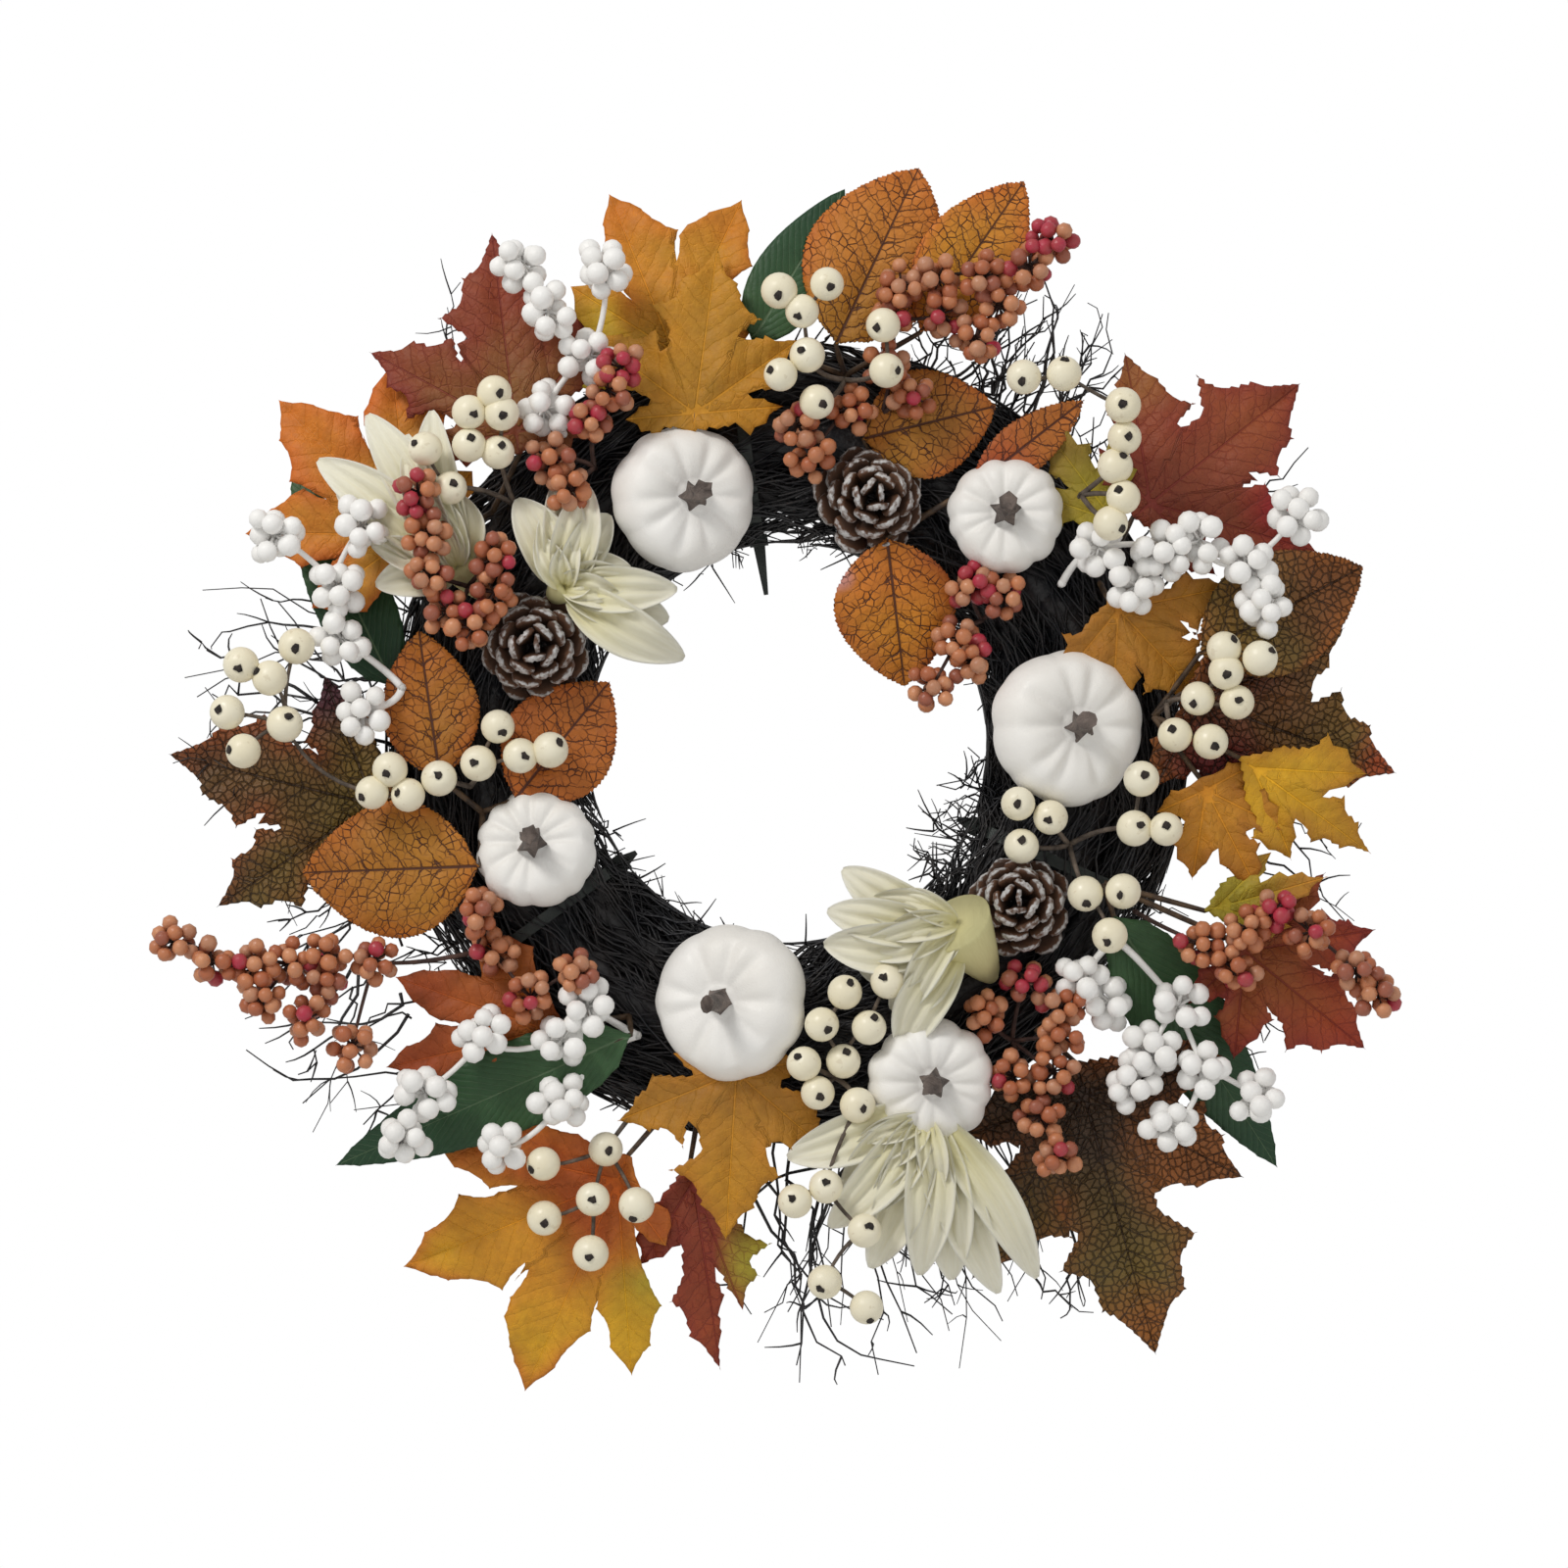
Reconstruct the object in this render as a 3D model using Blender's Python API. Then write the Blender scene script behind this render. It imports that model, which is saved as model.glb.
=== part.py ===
"""Harvest door wreath: dressed picks, pumpkins, cones, flowers and berries on a ring of tied twigs.

Metres, +Z up, the front faces -Y. The origin is the inner top of the hanging loop, where the door
hook bears. Places on the ring are written like a clock: degrees clockwise from the top as seen from
the front, then how far outward from the hoop's centreline, so every place follows the ring's size.
"""

import math
from collections import namedtuple

import bmesh
import bpy
from mathutils import Vector
from mathutils.bvhtree import BVHTree
from mathutils.geometry import tessellate_polygon

# The ring
RING_RADIUS = 0.122  # centreline of the wire hoop
HOOP_WIRE = 0.003  # diameter of its wire
HOOP_DROP = 0.033  # from the hook's point down to the top of the hoop
HOOP_CLEARANCE = 0.0004
MAT_HALF_WIDTH = 0.038  # twig mat, measured each way from the hoop
MAT_BACK = 0.005  # flat back, behind the hoop's centreline
MAT_FRONT = 0.035  # crown of the mat, in front of it
BUNDLE_SEAMS = (0, 120, 240)  # clock places where one bundle ends and the next starts
BUNDLE_GAP = 0.003

# The cable ties
TIE_CLOCKS = (352, 114, 234)
TIE_WIDTH = 0.0048
TIE_THICKNESS = 0.0014
TIE_SINK = 0.0026  # how deep the tie pulls into the mat
TIE_CLEARANCE = 0.0004
TIE_HEAD = (0.0076, 0.0046, 0.0070)  # across the strap, out from it, along it
TIE_TAILS = (0.020, 0.005, 0.005)

# The hanging loop
LOOP_RADIUS = 0.008  # centreline of the loop that takes the hook
LOOP_WIRE = 0.002
EYE_CLEARANCE = 0.0006  # round the hoop
LOOP_CLEARANCE = 0.0012  # to the notch in the mat
NOTCH_BELOW_HOOP = 0.012

# The picks
PICK_GAP = 0.0005  # least gap between a piece and what lies behind it
LEG_RADIUS = 0.0013
LEG_CLEARANCE = 0.0004
LEG_END = 0.009  # a leg's point, in front of the hoop's centreline
LEG_EDGE = 0.013  # a leg keeps this far from the sides of the mat
HUB_RADIUS = 0.0032
HUB_STANDOFF = 0.005  # a hub in front of the mat's crown, before it meets other pieces
SETTLE_STEP = 0.001
LEAF_THICKNESS = 0.0009
LEAF_LAYER = 0.0017  # from one leaf of a pick forward to the next
SLIVER = 0.000001  # points closer than this are one
LEAF_DROOP = 0.10  # how far a tip bends back, as a share of the leaf's length
PETIOLE_RADIUS = 0.0012
RIB_REACH = 0.22  # how far the petiole runs up the leaf

# Pumpkins, cones and berries
PUMPKIN_HEIGHT = 0.62  # of the diameter
PUMPKIN_RIBS = 8
RIB_DEPTH = 0.10  # of the radius
STEM_FLARE = 0.0068
STEM_HEIGHT = 0.013
PEG_RADIUS = 0.0016
PEG_LENGTH = 0.006
SEAT_CLEARANCE = 0.0004
CONE_COLUMNS = 12
CREAM_BERRY = 0.0070
WHITE_CLUSTER = 0.0085
ORANGE_CLUSTER = 0.0070
BERRY_STEM = 0.0009

# Outlines as (share of the half width, share of the length), from the tip down one side
MAPLE = ((0, 1), (0.25, 0.75), (0.2, 0.53), (0.56, 0.67), (1, 0.66), (0.68, 0.42), (0.44, 0.31),
         (0.86, 0.08), (0.45, 0.05), (0, 0.09))
OVAL = ((0, 1), (0.46, 0.88), (0.86, 0.66), (1, 0.42), (0.74, 0.15), (0, 0))
LANCE = ((0, 1), (0.5, 0.8), (0.94, 0.52), (0.96, 0.3), (0.56, 0.1), (0, 0))
PETAL = ((0, 1), (0.8, 0.84), (1, 0.5), (0.3, 0))

# Leaf picks, back ones first: hub, then each leaf's outline, base, tip, width and how far its tip
# comes forward of its base.
LEAF_PICKS = {
    "foliage_pick_low_left": ((210, 5), (
        (LANCE, (208, 10), (227, 130), 0.036, -0.004),
        (MAPLE, (218, 22), (231, 86), 0.066, 0.006))),
    "foliage_pick_left": ((265, 20), (
        (LANCE, (278, 37), (299, 108), 0.032, -0.004),
        (MAPLE, (260, 36), (269, 130), 0.092, 0.000))),
    "foliage_pick_top": ((9, 27), (
        (LANCE, (355, 39), (6, 102), 0.030, 0.004),
        (OVAL, (7, 38), (13, 117), 0.058, 0.000),
        (OVAL, (18, 50), (23, 126), 0.042, -0.004))),
    "foliage_pick_low_right": ((114, 17), (
        (LANCE, (118, 26), (131, 143), 0.038, -0.004),
        (MAPLE, (114, 72), (118, 143), 0.072, 0.000),
        (MAPLE, (112, 58), (104, 101), 0.040, 0.008))),
    "maple_pick_bottom_right": ((139, 30), (
        (MAPLE, (138, 50), (149, 169), 0.105, 0.000),)),
    "maple_pick_bottom": ((194, 12), (
        (MAPLE, (201, 55), (202, 163), 0.100, -0.004),
        (MAPLE, (193, 50), (186, 134), 0.056, 0.004),
        (MAPLE, (189, 4), (187, 79), 0.072, 0.010))),
    "maple_pick_top_left": ((308, 28), (
        (MAPLE, (298, 41), (304, 126), 0.094, 0.000),
        (MAPLE, (317, 35), (330, 116), 0.092, 0.004))),
    "maple_pick_top": ((344, 3), (
        (MAPLE, (344, 33), (342, 111), 0.086, 0.000),
        (MAPLE, (343, 7), (352, 78), 0.080, 0.008))),
    "maple_pick_right_top": ((60, 30), (
        (MAPLE, (57, 43), (55, 132), 0.084, 0.000),
        (MAPLE, (58, 36), (38, 42), 0.042, 0.004))),
    "maple_pick_right": ((86, 25), (
        (MAPLE, (83, 36), (93, 125), 0.092, 0.000),
        (OVAL, (78, 46), (73, 120), 0.050, 0.006),
        (MAPLE, (95, 43), (108, 77), 0.052, 0.004),
        (MAPLE, (92, 58), (101, 119), 0.044, -0.004))),
    "oval_pick_top_right": ((30, -20), (
        (OVAL, (14, 3), (32, 37), 0.045, 0.006),
        (OVAL, (36, 4), (41, 60), 0.022, 0.006),
        (OVAL, (26, -31), (66, -70), 0.050, 0.000))),
    "oval_pick_left": ((257, 3), (
        (OVAL, (264, 17), (287, 32), 0.040, 0.006),
        (OVAL, (258, -11), (289, -47), 0.046, 0.006),
        (OVAL, (248, 10), (255, 81), 0.056, 0.000))),
}
FRONT_LEAF_PICK = ((63, 19), ((MAPLE, (66, 18), (85, 47), 0.058, 0.000),))

# Flowers: hub, throat, radius of the throat, then the tip of each petal
FLOWERS = {
    "flower_top_left": ((296, 15), (298, 27), 0.007, (
        (308, 91), (313, 72), (307, 71), (301, 97), (299, 83), (291, 53), (307, 42))),
    "flower_left": ((302, -12), (305, -14), 0.007, (
        (312, 23), (319, 17), (322, 7), (322, -7), (318, -29), (324, -47), (316, -54), (309, -69))),
    "flower_low_right": ((139, 3), (136, -30), 0.013, (
        (157, -67), (167, -53), (170, -40), (163, -28), (159, -7), (160, 9))),
    "flower_bottom": ((155, 28), (160, 38), 0.008, (
        (180, 44), (173, 59), (175, 72), (171, 91), (169, 83), (166, 97), (163, 103), (159, 114),
        (155, 114))),
}
PETAL_WIDTH = 0.016
PETAL_LIFT = 0.012
PETAL_DROOP = 0.08

# Cones and pumpkins: clock place, diameter, then the tilt of the axis sideways and upward in degrees
CONES = {
    "pine_cone_top": ((19, -19), 0.044, (6, 4)),
    "pine_cone_left": ((291, -14), 0.045, (0, 0)),
    "pine_cone_low_right": ((125, -9), 0.041, (-8, 10)),
}
PUMPKINS = {
    "top_left": ((337, -16), 0.059, (20, 0)),
    "top_right": ((44, 4), 0.047, (-4, 6)),
    "right": ((87, -10), 0.063, (19, 1)),
    "left": ((247, -13), 0.049, (-7, 14)),
    "bottom": ((192, -16), 0.063, (-22, 4)),
    "low_right": ((157, 25), 0.051, (4, -1)),
}

# Berry sprays: hub, then the place of each berry or each cluster
WHITE_SPRAYS = {
    "top_left": ((324, 30), (
        (331, 95), (339, 79), (331, 73), (324, 42), (333, 50))),
    "left": ((278, 33), (
        (292, 97), (297, 67), (289, 67), (283, 60), (274, 47))),
    "right": ((60, 5), (
        (58, 24), (63, 45), (64, 60), (69, 73), (66, 99), (74, 74), (66, 30))),
    "low_right": ((121, 31), (
        (129, 30), (129, 43), (124, 66), (135, 71), (130, 68), (128, 88), (127, 113), (135, 94))),
    "low_left": ((207, 10), (
        (226, 46), (217, 10), (217, 26), (226, 78), (224, 96), (212, 47), (215, 76))),
}
ORANGE_SPRAYS = {
    "left_top": ((296, 19), (
        (304, 54), (300, 41), (295, 34), (291, 22), (290, 10), (302, 15), (297, 8))),
    "top_left": ((325, 12), (
        (336, 40), (333, 34), (329, 27), (320, 24), (319, 10))),
    "top_right": ((16, 14), (
        (28, 103), (27, 90), (23, 79), (26, 71), (18, 72), (14, 65), (14, 52), (20, 59), (25, 55),
        (15, 33), (20, 25), (11, 13), (5, -8), (2, 4))),
    "right": ((58, -30), (
        (50, -26), (56, -17), (59, -42), (66, -42), (69, -60))),
    "low_right": ((116, 33), (
        (109, 83), (110, 99), (112, 75), (116, 61), (117, 78), (112, 121), (113, 132))),
    "bottom_right": ((143, 28), (
        (135, 13), (144, 13), (134, 31), (137, 38), (141, 47), (146, 39), (146, 58), (147, 74))),
    "left": ((236, 28), (
        (252, 134), (249, 122), (247, 108), (246, 95), (245, 80), (242, 64), (243, 85), (244, 110),
        (240, 98), (235, 89), (241, 18), (234, 22), (225, 22), (223, 2))),
}
CREAM_SPRAYS = {
    "top_left": ((311, 22), (
        (320, 58), (316, 59), (319, 50), (315, 40), (309, 62), (313, 50), (307, 45))),
    "left": ((262, 6), (
        (281, 76), (278, 96), (277, 84), (273, 100), (272, 77), (269, 93), (263, 44), (262, 30),
        (264, 17), (266, 1), (273, -7), (267, -16), (268, -28), (266, 36))),
    "top": ((9, 24), (
        (359, 56), (2, 48), (5, 59), (13, 47), (3, 31), (359, 23), (5, 13), (15, 30))),
    "top_right": ((50, 30), (
        (33, 49), (37, 59), (45, 65), (48, 57), (50, 47), (54, 42), (56, 32))),
    "right": ((84, 30), (
        (78, 55), (80, 68), (81, 54), (84, 42), (85, 57), (89, 32), (90, 46))),
    "low_right": ((110, -2), (
        (105, -27), (106, -13), (96, 19), (114, -20), (104, 20), (103, 32), (117, 11), (114, 24),
        (121, 27))),
    "bottom": ((172, 13), (
        (167, -20), (157, -19), (173, -9), (164, -4), (177, 6), (170, 7), (175, 18), (169, 25),
        (179, 60), (175, 55), (171, 74), (176, 92), (172, 104))),
    "low_left": ((202, 34), (
        (204, 56), (203, 76), (198, 72), (207, 91), (201, 96), (210, 72))),
}
BERRY_RISE = 0.014  # the outermost berries, in front of their hub

# Colour, roughness and metallic value of each finish
FINISHES = {
    "hoop_wire": ((0.20, 0.20, 0.21), 0.40, 1.0),
    "twig_bark": ((0.035, 0.032, 0.040), 0.75, 0.0),
    "tie_plastic": ((0.02, 0.04, 0.03), 0.45, 0.0),
    "pumpkin_skin": ((0.86, 0.86, 0.84), 0.55, 0.0),
    "pumpkin_stem": ((0.11, 0.09, 0.08), 0.70, 0.0),
    "cone_scale": ((0.17, 0.10, 0.06), 0.75, 0.0),
    "petal_ivory": ((0.85, 0.80, 0.62), 0.65, 0.0),
    "berry_cream": ((0.86, 0.82, 0.66), 0.35, 0.0),
    "berry_white": ((0.90, 0.90, 0.88), 0.40, 0.0),
    "berry_orange": ((0.66, 0.33, 0.17), 0.45, 0.0),
    "leaf_autumn": ((0.55, 0.22, 0.07), 0.60, 0.0),
    "leaf_green": ((0.07, 0.16, 0.06), 0.60, 0.0),
}

CENTRE_Z = -HOOP_DROP - RING_RADIUS
FRONT = Vector((0, -1, 0))
SIDE = Vector((1, 0, 0))
UP = Vector((0, 0, 1))

Shape = namedtuple("Shape", "points normals faces")


# Places on the ring

def outward(clock):
    """The direction away from the ring's centre at this clock place."""
    turn = math.radians(clock)
    return Vector((math.sin(turn), 0, math.cos(turn)))


def along(clock):
    """The direction round the ring, clockwise."""
    turn = math.radians(clock)
    return Vector((math.cos(turn), 0, -math.sin(turn)))


def place(clock, out, depth):
    """A point from a clock place, a distance outward from the hoop and one in front of it."""
    return outward(clock) * (RING_RADIUS + out) + FRONT * depth + UP * CENTRE_Z


def at(clock_place, depth):
    """A table's clock place, whose second value is in millimetres."""
    clock, out = clock_place
    return place(clock, out / 1000, depth)


# Closed shapes

def closed(points, faces):
    """A closed shape whose faces point outwards."""
    mesh = bmesh.new()
    corners = [mesh.verts.new(point) for point in points]
    for face in faces:
        mesh.faces.new([corners[n] for n in face])
    bmesh.ops.recalc_face_normals(mesh, faces=mesh.faces)
    mesh.normal_update()
    mesh.verts.index_update()
    shape = Shape(
        [corner.co.copy() for corner in mesh.verts],
        [corner.normal.copy() for corner in mesh.verts],
        [[corner.index for corner in face.verts] for face in mesh.faces],
    )
    mesh.free()
    return shape


def loft(rings, looped=False):
    """Joins rings of equally many points, with flat ends unless the last meets the first."""
    count = len(rings[0])
    points = [point for ring in rings for point in ring]
    faces = []
    spans = len(rings) if looped else len(rings) - 1
    for row in range(spans):
        below, above = row * count, (row + 1) % len(rings) * count
        for n in range(count):
            after = (n + 1) % count
            faces.append((below + n, below + after, above + after, above + n))
    if not looped:
        faces.append(range(count))
        faces.append(range(len(points) - count, len(points)))
    return closed(points, faces)


def tube(path, radii, sides):
    """A tube along a path, with one radius or one for each point."""
    if not isinstance(radii, (list, tuple)):
        radii = [radii] * len(path)
    rings = []
    spare = None
    for n, point in enumerate(path):
        heading = (path[min(n + 1, len(path) - 1)] - path[max(n - 1, 0)]).normalized()
        if spare is None:
            spare = heading.orthogonal()
        across = (spare - heading * spare.dot(heading)).normalized()
        over = heading.cross(across)
        spare = across
        turns = [math.tau * side / sides for side in range(sides)]
        rings.append([point + (across * math.cos(t) + over * math.sin(t)) * radii[n] for t in turns])
    return loft(rings)


def hoop(centre, axis, radius, wire, segments, sides):
    """A ring of round wire."""
    across = axis.orthogonal().normalized()
    over = axis.cross(across)
    rings = []
    for segment in range(segments):
        turn = math.tau * segment / segments
        out = across * math.cos(turn) + over * math.sin(turn)
        ring = []
        for side in range(sides):
            roll = math.tau * side / sides
            ring.append(centre + out * (radius + wire * math.cos(roll)) + axis * wire * math.sin(roll))
        rings.append(ring)
    return loft(rings, looped=True)


def block(centre, axes, sizes):
    """A box with its own three directions."""
    rings = []
    for end in (-0.5, 0.5):
        ring = []
        for a, b in ((-0.5, -0.5), (0.5, -0.5), (0.5, 0.5), (-0.5, 0.5)):
            ring.append(centre + axes[0] * sizes[0] * a + axes[1] * sizes[1] * b + axes[2] * sizes[2] * end)
        rings.append(ring)
    return loft(rings)


def ball(centre, radius):
    """A ball with twenty flat sides, a little larger so that its mean radius is the one asked for."""
    mesh = bmesh.new()
    bmesh.ops.create_icosphere(mesh, subdivisions=1, radius=radius * 1.08)
    points = [corner.co + centre for corner in mesh.verts]
    faces = [[corner.index for corner in face.verts] for face in mesh.faces]
    mesh.free()
    return closed(points, faces)


def knob(centre, radius):
    """A lump with eight flat sides."""
    points = [centre + axis * radius * end for axis in (SIDE, FRONT, UP) for end in (1, -1)]
    faces = [(x, y, z) for x in (0, 1) for y in (2, 3) for z in (4, 5)]
    return closed(points, faces)


def blade(outline, base, tip, width, droop):
    """A thin curved leaf or petal from base to tip, facing the front."""
    length = (tip - base).length
    run = (tip - base) / length
    face = (FRONT - run * FRONT.dot(run)).normalized()
    sideways = face.cross(run)
    flat = list(outline) + [(-share, reach) for share, reach in reversed(outline) if share]
    skin = []
    for share, reach in flat:
        drop = face * droop * length * reach ** 2
        skin.append(base + run * reach * length + sideways * share * width / 2 - drop)
    count = len(flat)
    triangles = tessellate_polygon([[Vector((share, reach, 0)) for share, reach in flat]])
    half = face * LEAF_THICKNESS / 2
    points = [point + half for point in skin] + [point - half for point in skin]
    faces = [tuple(corner) for corner in triangles]
    faces += [tuple(corner + count for corner in reversed(face)) for face in triangles]
    faces += [(n, (n + 1) % count, (n + 1) % count + count, n + count) for n in range(count)]
    return closed(points, faces)


# Objects and Booleans

def material(finish):
    """The Principled material of a finish, made once."""
    found = bpy.data.materials.get(finish)
    if found:
        return found
    colour, roughness, metallic = FINISHES[finish]
    made = bpy.data.materials.new(finish)
    made.use_nodes = True
    shader = made.node_tree.nodes["Principled BSDF"]
    shader.inputs["Base Color"].default_value = (*colour, 1)
    shader.inputs["Roughness"].default_value = roughness
    shader.inputs["Metallic"].default_value = metallic
    return made


def new_object(name, shape):
    """An object of one shape, in world space."""
    mesh = bpy.data.meshes.new(name)
    mesh.from_pydata(shape.points, [], shape.faces)
    made = bpy.data.objects.new(name, mesh)
    bpy.context.scene.collection.objects.link(made)
    return made


def cleaned(mesh):
    """Closes the slivers that a Boolean leaves."""
    work = bmesh.new()
    work.from_mesh(mesh)
    bmesh.ops.remove_doubles(work, verts=work.verts, dist=SLIVER)
    bmesh.ops.dissolve_degenerate(work, edges=work.edges, dist=SLIVER)
    bmesh.ops.triangulate(work, faces=work.faces)
    work.to_mesh(mesh)
    work.free()


def combine(body, shapes, operation):
    """Unites closed shapes with an object, or cuts them from it."""
    if not shapes:
        return
    group = bpy.data.collections.new("operands")
    bpy.context.scene.collection.children.link(group)
    operands = []
    for shape in shapes:
        operand = new_object("operand", shape)
        bpy.context.scene.collection.objects.unlink(operand)
        group.objects.link(operand)
        operands.append(operand)
    modifier = body.modifiers.new("combine", "BOOLEAN")
    modifier.operation = operation
    modifier.operand_type = "COLLECTION"
    modifier.collection = group
    modifier.solver = "EXACT"
    graph = bpy.context.evaluated_depsgraph_get()
    graph.update()
    result = bpy.data.meshes.new_from_object(body.evaluated_get(graph))
    body.modifiers.remove(modifier)
    body.data = result
    cleaned(result)
    for operand in operands:
        bpy.data.objects.remove(operand)
    bpy.data.collections.remove(group)


def fused(name, shapes):
    """One body made of closed shapes that overlap."""
    body = new_object(name, shapes[0])
    combine(body, shapes[1:], "UNION")
    return body


def volume(obj):
    """The volume of a mesh."""
    mesh = bmesh.new()
    mesh.from_mesh(obj.data)
    found = mesh.calc_volume()
    mesh.free()
    return found


def body_count(obj):
    """How many bodies a mesh holds, counting those that only share a point as two."""
    owner = list(range(len(obj.data.polygons)))

    def root(n):
        while owner[n] != n:
            owner[n] = owner[owner[n]]
            n = owner[n]
        return n

    beside = {}
    for face in obj.data.polygons:
        for edge in face.edge_keys:
            if edge in beside:
                owner[root(face.index)] = root(beside[edge])
            beside[edge] = face.index
    return len({root(n) for n in range(len(owner))})


def tree_of(objects):
    """A search tree over the faces of objects in world space."""
    points = []
    faces = []
    for obj in objects:
        start = len(points)
        points += [corner.co.copy() for corner in obj.data.vertices]
        faces += [[start + n for n in face.vertices] for face in obj.data.polygons]
    return BVHTree.FromPolygons(points, faces)


def shape_tree(shapes, swell, shift):
    """A search tree over shapes that are swollen by a gap and moved."""
    points = []
    faces = []
    for shape in shapes:
        start = len(points)
        points += [p + n * swell + shift for p, n in zip(shape.points, shape.normals)]
        faces += [[start + n for n in face] for face in shape.faces]
    return BVHTree.FromPolygons(points, faces)


def inside(tree, point):
    """Whether a point lies in one of the closed bodies of a tree."""
    hits = 0
    hit = tree.ray_cast(point, -FRONT)[0]
    while hit is not None:
        hits += 1
        hit = tree.ray_cast(hit - FRONT * 1e-6, -FRONT)[0]
    return hits % 2 == 1


# Laying pieces on the ring

class Ring:
    """The pieces laid so far, and the sockets that their legs need in the twig bundles."""

    def __init__(self, base, pierced):
        self.laid = list(base)
        self.pierced = list(pierced)
        self.thin = []
        self.sockets = []

    def settled(self, shapes):
        """How far forward the shapes move until they clear every piece that is already there."""
        tree = tree_of(self.laid + self.pierced)
        forward = 0
        while True:
            shift = FRONT * forward
            clear = not tree.overlap(shape_tree(shapes, PICK_GAP, shift))
            if clear and not any(inside(tree, shape.points[0] + shift) for shape in shapes):
                return shift
            forward += SETTLE_STEP

    def leg(self, hub, clock_place):
        """A straight leg from a hub into the mat, by the nearest way that meets no other piece."""
        clock, out = clock_place
        widest = MAT_HALF_WIDTH - LEG_EDGE
        for turn, slide in LEG_WAYS:
            reach = max(-widest, min(widest, out / 1000 + slide))
            end = place(clock + turn, reach, LEG_END)
            heading = (end - hub).normalized()
            socket = tube([hub, end + heading * LEG_CLEARANCE], LEG_RADIUS + LEG_CLEARANCE, 6)
            tree = shape_tree([socket], 0, Vector())
            met = [piece for piece in self.laid if tree.overlap(tree_of([piece]))]
            if any(piece not in self.thin for piece in met):
                continue
            whole = {piece: (piece.data, volume(piece)) for piece in met}
            for piece in met:
                combine(piece, [socket], "DIFFERENCE")
            leg = tube([hub, end], LEG_RADIUS, 6)
            freed = not met or not tree_of(met).overlap(shape_tree([leg], 0, Vector()))
            if freed and all(body_count(p) == 1 and volume(p) > 0.9 * whole[p][1] for p in met):
                self.sockets.append(socket)
                return leg
            for piece, (mesh, _) in whole.items():
                piece.data = mesh
        raise ValueError(f"a leg at {clock_place} finds no way into the mat")

    def lay(self, name, shapes, hub, clock_place, finish, thin=False):
        """Moves a piece forward until it is clear, gives it a leg and fuses it to one body."""
        shift = self.settled(shapes)
        moved = [Shape([point + shift for point in s.points], s.normals, s.faces) for s in shapes]
        leg = self.leg(hub + shift, clock_place)
        piece = fused(name, moved + [leg])
        piece.data.materials.clear()
        piece.data.materials.append(material(finish))
        self.laid.append(piece)
        if thin:
            self.thin.append(piece)
        piece["hub"] = hub + shift
        return shift


LEG_WAYS = [(turn, slide / 1000) for slide in range(-24, 25, 4) for turn in range(-16, 17, 2)]
LEG_WAYS.sort(key=lambda way: math.hypot(math.radians(way[0]) * RING_RADIUS, way[1]))


# The ring

def mat_section(inset):
    """The D-shaped outline of the mat as (out, depth), without its groove, drawn in by an inset."""
    half = MAT_HALF_WIDTH - inset
    back = inset - MAT_BACK
    rise = MAT_FRONT - inset - back
    steps = 6
    section = []
    for step in range(steps + 1):
        turn = math.pi * step / steps
        lift = max(math.sin(turn), 0) ** 0.6
        section.append((half * math.cos(turn), back + rise * lift))
    return section


def grooved_section(inset):
    """The same outline with the groove that the hoop lies in."""
    groove = HOOP_WIRE / 2 + HOOP_CLEARANCE
    back = inset - MAT_BACK
    return mat_section(inset) + [(-groove, back), (-groove, groove), (groove, groove), (groove, back)]


def waist_turn():
    """Half the clock width of the waist that a tie pulls into the mat."""
    return math.degrees((TIE_HEAD[0] / 2 + TIE_CLEARANCE) / (RING_RADIUS - MAT_HALF_WIDTH))


def twig_bundle(name, start, end):
    """A bent bundle of twigs between two clock places, with a waist at its tie."""
    margin = math.degrees(BUNDLE_GAP / RING_RADIUS) / 2
    start, end = start + margin, end - margin
    steps = 18
    stops = [(start + (end - start) * step / steps, 0) for step in range(steps + 1)]
    for clock in TIE_CLOCKS:
        if start < clock < end:
            reach = waist_turn()
            stops = [stop for stop in stops if abs(stop[0] - clock) > reach + 2 or stop[0] in (start, end)]
            stops += [(clock - reach - 0.4, 0), (clock - reach, TIE_SINK)]
            stops += [(clock + reach, TIE_SINK), (clock + reach + 0.4, 0)]
    rings = []
    for clock, inset in sorted(stops):
        rings.append([place(clock, out, depth) for out, depth in grooved_section(inset)])
    return new_object(name, loft(rings))


def cable_tie(name, clock, tail):
    """A tie drawn tight round the mat, with its head and tail at the opening's edge."""
    sides, forward, round_ring = outward(clock), FRONT, along(clock)
    inner = mat_section(TIE_SINK - TIE_CLEARANCE)
    outer = mat_section(TIE_SINK - TIE_CLEARANCE - TIE_THICKNESS)
    rings = []
    for (in_out, in_depth), (out_out, out_depth) in zip(inner, outer):
        low, high = place(clock, in_out, in_depth), place(clock, out_out, out_depth)
        half = round_ring * TIE_WIDTH / 2
        rings.append([low - half, high - half, high + half, low + half])
    strap = loft(rings, looped=True)
    edge = -MAT_HALF_WIDTH + TIE_SINK - TIE_CLEARANCE - TIE_THICKNESS / 2
    across, deep, tall = TIE_HEAD
    head_depth = tall / 2 - TIE_SINK / 2
    head = block(place(clock, edge - deep / 2, head_depth), (round_ring, sides, forward), (across, deep, tall))
    tail_middle = place(clock, edge - deep - tail / 2 + 0.001, head_depth)
    tail_strip = block(tail_middle, (round_ring, sides, forward), (TIE_WIDTH, tail + 0.002, TIE_THICKNESS))
    return fused(name, [strap, head, tail_strip])


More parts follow.
